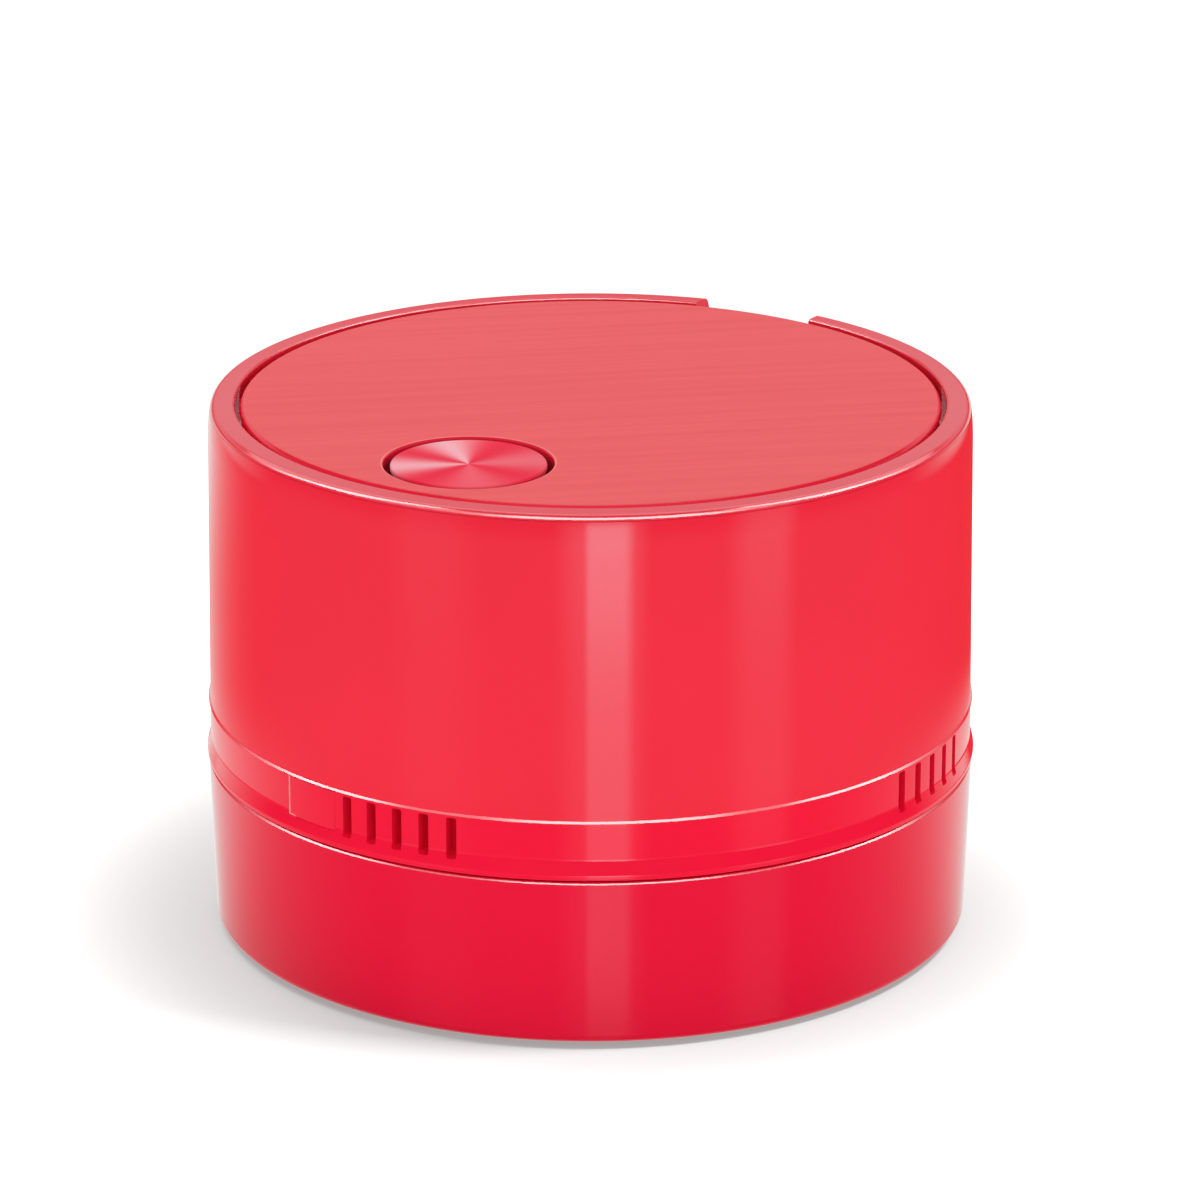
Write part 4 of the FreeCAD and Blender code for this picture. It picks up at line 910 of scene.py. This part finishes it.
def quiet_light(g, azimuth, elevation):
    """The studio's quiet level between the strips, which ends a little above the horizon.

    The dust cup mirrors what is low, and the shell and the vent band mirror what is higher.
    """
    across = g.maths("ABSOLUTE", azimuth)
    low = g.ramp(elevation, -20.6, -19.3, 1.0, 0.0)
    high = g.maths("SUBTRACT", 1.0, low)

    # The shell's level falls towards the back, but for a pale stretch behind on the left.
    shell_level = g.product(g.ramp(across, 60.0, 150.0, 0.29, 0.05),
                            g.ramp(elevation, -16.0, -5.0, 1.0, 0.15))
    behind_left = g.product(g.swell(azimuth, -180.0, -166.0, -165.0, -115.0),
                            g.ramp(elevation, -18.8, -17.0, 0.55, 1.0))

    # The cup's level rises towards the back, and so does a glow round the horizon.
    cup_level = g.product(g.ramp(across, 60.0, 150.0, 0.05, 0.62), g.ramp(elevation, -24.0, -21.5, 1.0, 1.65))
    horizon_level = g.product(g.ramp(across, 100.0, 145.0, 0.0, 1.2), g.ramp(elevation, -15.5, -12.0),
                              g.ramp(elevation, 0.0, 8.0, 1.0, 0.0))
    walls = g.total([g.product(g.total([shell_level, behind_left]), high), g.product(cup_level, low)])
    return g.product(g.maths("MAXIMUM", walls, horizon_level), g.ramp(elevation, 0.0, 10.0, 1.0, 0.0))


def make_world():
    """White to the camera and to diffuse light. Gloss mirrors a studio of soft upright light strips.

    Azimuths here are counted from the camera's, and are positive to its right. A wall of the object
    mirrors what lies below the horizon: the tall shell down to -19 degrees, the vent band about -21
    and the dust cup about -25. Its top mirrors what lies above the horizon, behind the object.
    """
    world = bpy.data.worlds.new("studio")
    world.use_nodes = True
    bpy.context.scene.world = world
    g = Graph(world.node_tree)
    ray = g.node("ShaderNodeTexCoord").outputs["Generated"]
    ahead = g.along(ray, towards(CAMERA_AZIMUTH))
    side = g.along(ray, towards(CAMERA_AZIMUTH + 90))
    up = g.along(ray, (0, 0, 1))
    azimuth = g.maths("DEGREES", g.maths("ARCTAN2", side, ahead))
    elevation = g.maths("DEGREES", g.maths("ARCSINE", up))
    strips = strip_lights(g, azimuth, elevation)
    quiet = quiet_light(g, azimuth, elevation)

    # The sky, which the top mirrors, is a little dimmer higher up.
    sky = g.ramp(elevation, 4.0, 19.0)
    overhead = g.product(sky, g.ramp(elevation, 21.0, 29.0, 1.0, 0.6))
    below = g.maths("SUBTRACT", 1.0, sky)

    # Below the horizon the studio is warm: its red stays level where its green and blue fall off.
    red = g.total([0.85, g.product(strips, 0.25), g.product(overhead, 0.07)])
    green = g.total([g.product(quiet, below), g.product(strips, below), g.product(overhead, 0.80)])
    blue = g.total([g.product(quiet, below, 0.95), g.product(strips, below, 1.08), g.product(overhead, 0.82)])
    studio_colour = g.node("ShaderNodeCombineColor", {0: red, 1: green, 2: blue}).outputs[0]

    path = g.node("ShaderNodeLightPath").outputs
    seen = g.blend(path["Is Glossy Ray"], (1, 1, 1, 1), studio_colour)
    light = g.node("ShaderNodeBackground", {"Color": seen, "Strength": 1.0})
    g.node("ShaderNodeOutputWorld", {"Surface": light.outputs[0]})
    world.cycles.sampling_method = "NONE"


def area_light(name, azimuth, elevation, distance, size, watts):
    """A square lamp that points at the origin. Its distance and its size are in metres."""
    light = bpy.data.lights.new(name, "AREA")
    light.shape = "SQUARE"
    light.size = size
    light.energy = watts
    lamp = bpy.data.objects.new(name, light)
    lamp.location = towards(azimuth, elevation) * distance
    lamp.rotation_euler = lamp.location.to_track_quat("Z", "Y").to_euler()
    lamp.visible_glossy = False
    bpy.context.scene.collection.objects.link(lamp)
    return lamp


def make_floor_lights(floor):
    """Two soft lights, one on the right and one behind on the left, which give the floor its shadows."""
    key = area_light("key", CAMERA_AZIMUTH + 82.5, elevation=59.4, distance=1.5, size=0.354, watts=63.8)
    kicker = area_light("kicker", CAMERA_AZIMUTH - 123.5, elevation=68.9, distance=1.5, size=1.41, watts=58.2)
    only_for(key, [floor])
    only_for(kicker, [floor])


def make_inner_glow(pieces):
    """A faint light inside the head, for the daylight that soaks in through its thin red walls."""
    above_base = 12
    light = bpy.data.lights.new("inner_glow", "POINT")
    light.energy = 0.04
    light.use_shadow = False
    lamp = bpy.data.objects.new("inner_glow", light)
    lamp.location = (0, 0, (base_top + above_base) * MM)
    lamp.visible_glossy = False
    bpy.context.scene.collection.objects.link(lamp)
    only_for(lamp, pieces)


def make_edge_ring(pieces):
    """A ring of light overhead with three brighter lamps in it, which only some glossy pieces mirror.

    Chamfers and roundings on those pieces catch it as fine bright lines. On either side of the object,
    as the camera sees it, the ring reaches lower and fades out downwards.
    """
    reach = 1500
    low, high = 32.0, 68.0
    side_low, side_full = 10.0, 38.0
    lamp_light = 13.0
    ring_steps = 64
    bm = bmesh.new()
    outline = [Vector((reach * cosine(angle), reach * sine(angle))) for angle in (side_low, low, high)]
    lathe(bm, outline, ring_steps, 0, 0, False)
    ring = new_piece("edge_light", bm)
    material, g = new_material("edge_light")
    spot = g.place()
    side = g.along(spot, towards(CAMERA_AZIMUTH + 90))
    azimuth = g.maths("DEGREES", g.maths("ARCTAN2", side, g.along(spot, towards(CAMERA_AZIMUTH))))
    # Each lamp: where it begins and is full, where it starts to fade and ends, from the camera's azimuth.
    lamps = ((-50, -18, 38, 62), (72, 84, 102, 122), (-122, -102, -84, -70))
    # Between them the ring is quieter, and dimmest at the back.
    across = g.maths("ABSOLUTE", azimuth)
    light = [g.ramp(across, 110.0, 150.0, 4.0, 2.0)]
    for begin, full, wane, finish in lamps:
        light.append(g.product(g.swell(azimuth, begin, full, wane, finish), lamp_light))
    height = g.along(spot, (0, 0, 1 / reach))
    beside = g.swell(across, 90.0, 108.0, 122.0, 140.0)
    foot = g.ramp(beside, 0.0, 1.0, sine(low) - 0.01, sine(side_low), kind="LINEAR")
    clear_of_foot = g.ramp(beside, 0.0, 1.0, sine(low), sine(side_full), kind="LINEAR")
    edge = g.ramp(height, foot, clear_of_foot)
    glow = g.node("ShaderNodeEmission", {"Color": (1, 1, 1, 1), "Strength": g.total(light)})
    clear = g.node("ShaderNodeBsdfTransparent")
    faded = g.node("ShaderNodeMixShader", {0: edge, 1: clear.outputs[0], 2: glow.outputs[0]})
    g.node("ShaderNodeOutputMaterial", {"Surface": faded.outputs[0]})
    dress(ring, material)
    for kind in ("camera", "diffuse", "shadow", "transmission", "volume_scatter"):
        setattr(ring, "visible_" + kind, False)
    only_for(ring, pieces)


def make_camera():
    """The camera, with its distance and height in metres and its lens in millimetres."""
    distance = 0.6465
    height = 0.26005
    pitch = 18.95
    lens = 183.5
    camera = bpy.data.cameras.new("camera")
    camera.lens = lens
    camera.sensor_width = 36.0
    camera.sensor_fit = "HORIZONTAL"
    eye = bpy.data.objects.new("camera", camera)
    eye.location = towards(CAMERA_AZIMUTH) * distance + Vector((0, 0, height))
    eye.rotation_euler = (math.radians(90 - pitch), 0, math.radians(CAMERA_AZIMUTH))
    bpy.context.scene.collection.objects.link(eye)
    bpy.context.scene.camera = eye


dress_nodes()
shell = make_outer_shell()
band = make_vent_band()
cup = make_dust_cup()
make_port_flap()
make_cover_plate()
make_button_disc()
make_button_spring()
make_bristles()
make_floor_lights(make_floor())
make_edge_ring([shell, band, cup])
make_inner_glow([band])
make_world()
make_camera()
bpy.context.scene.view_settings.view_transform = "Standard"
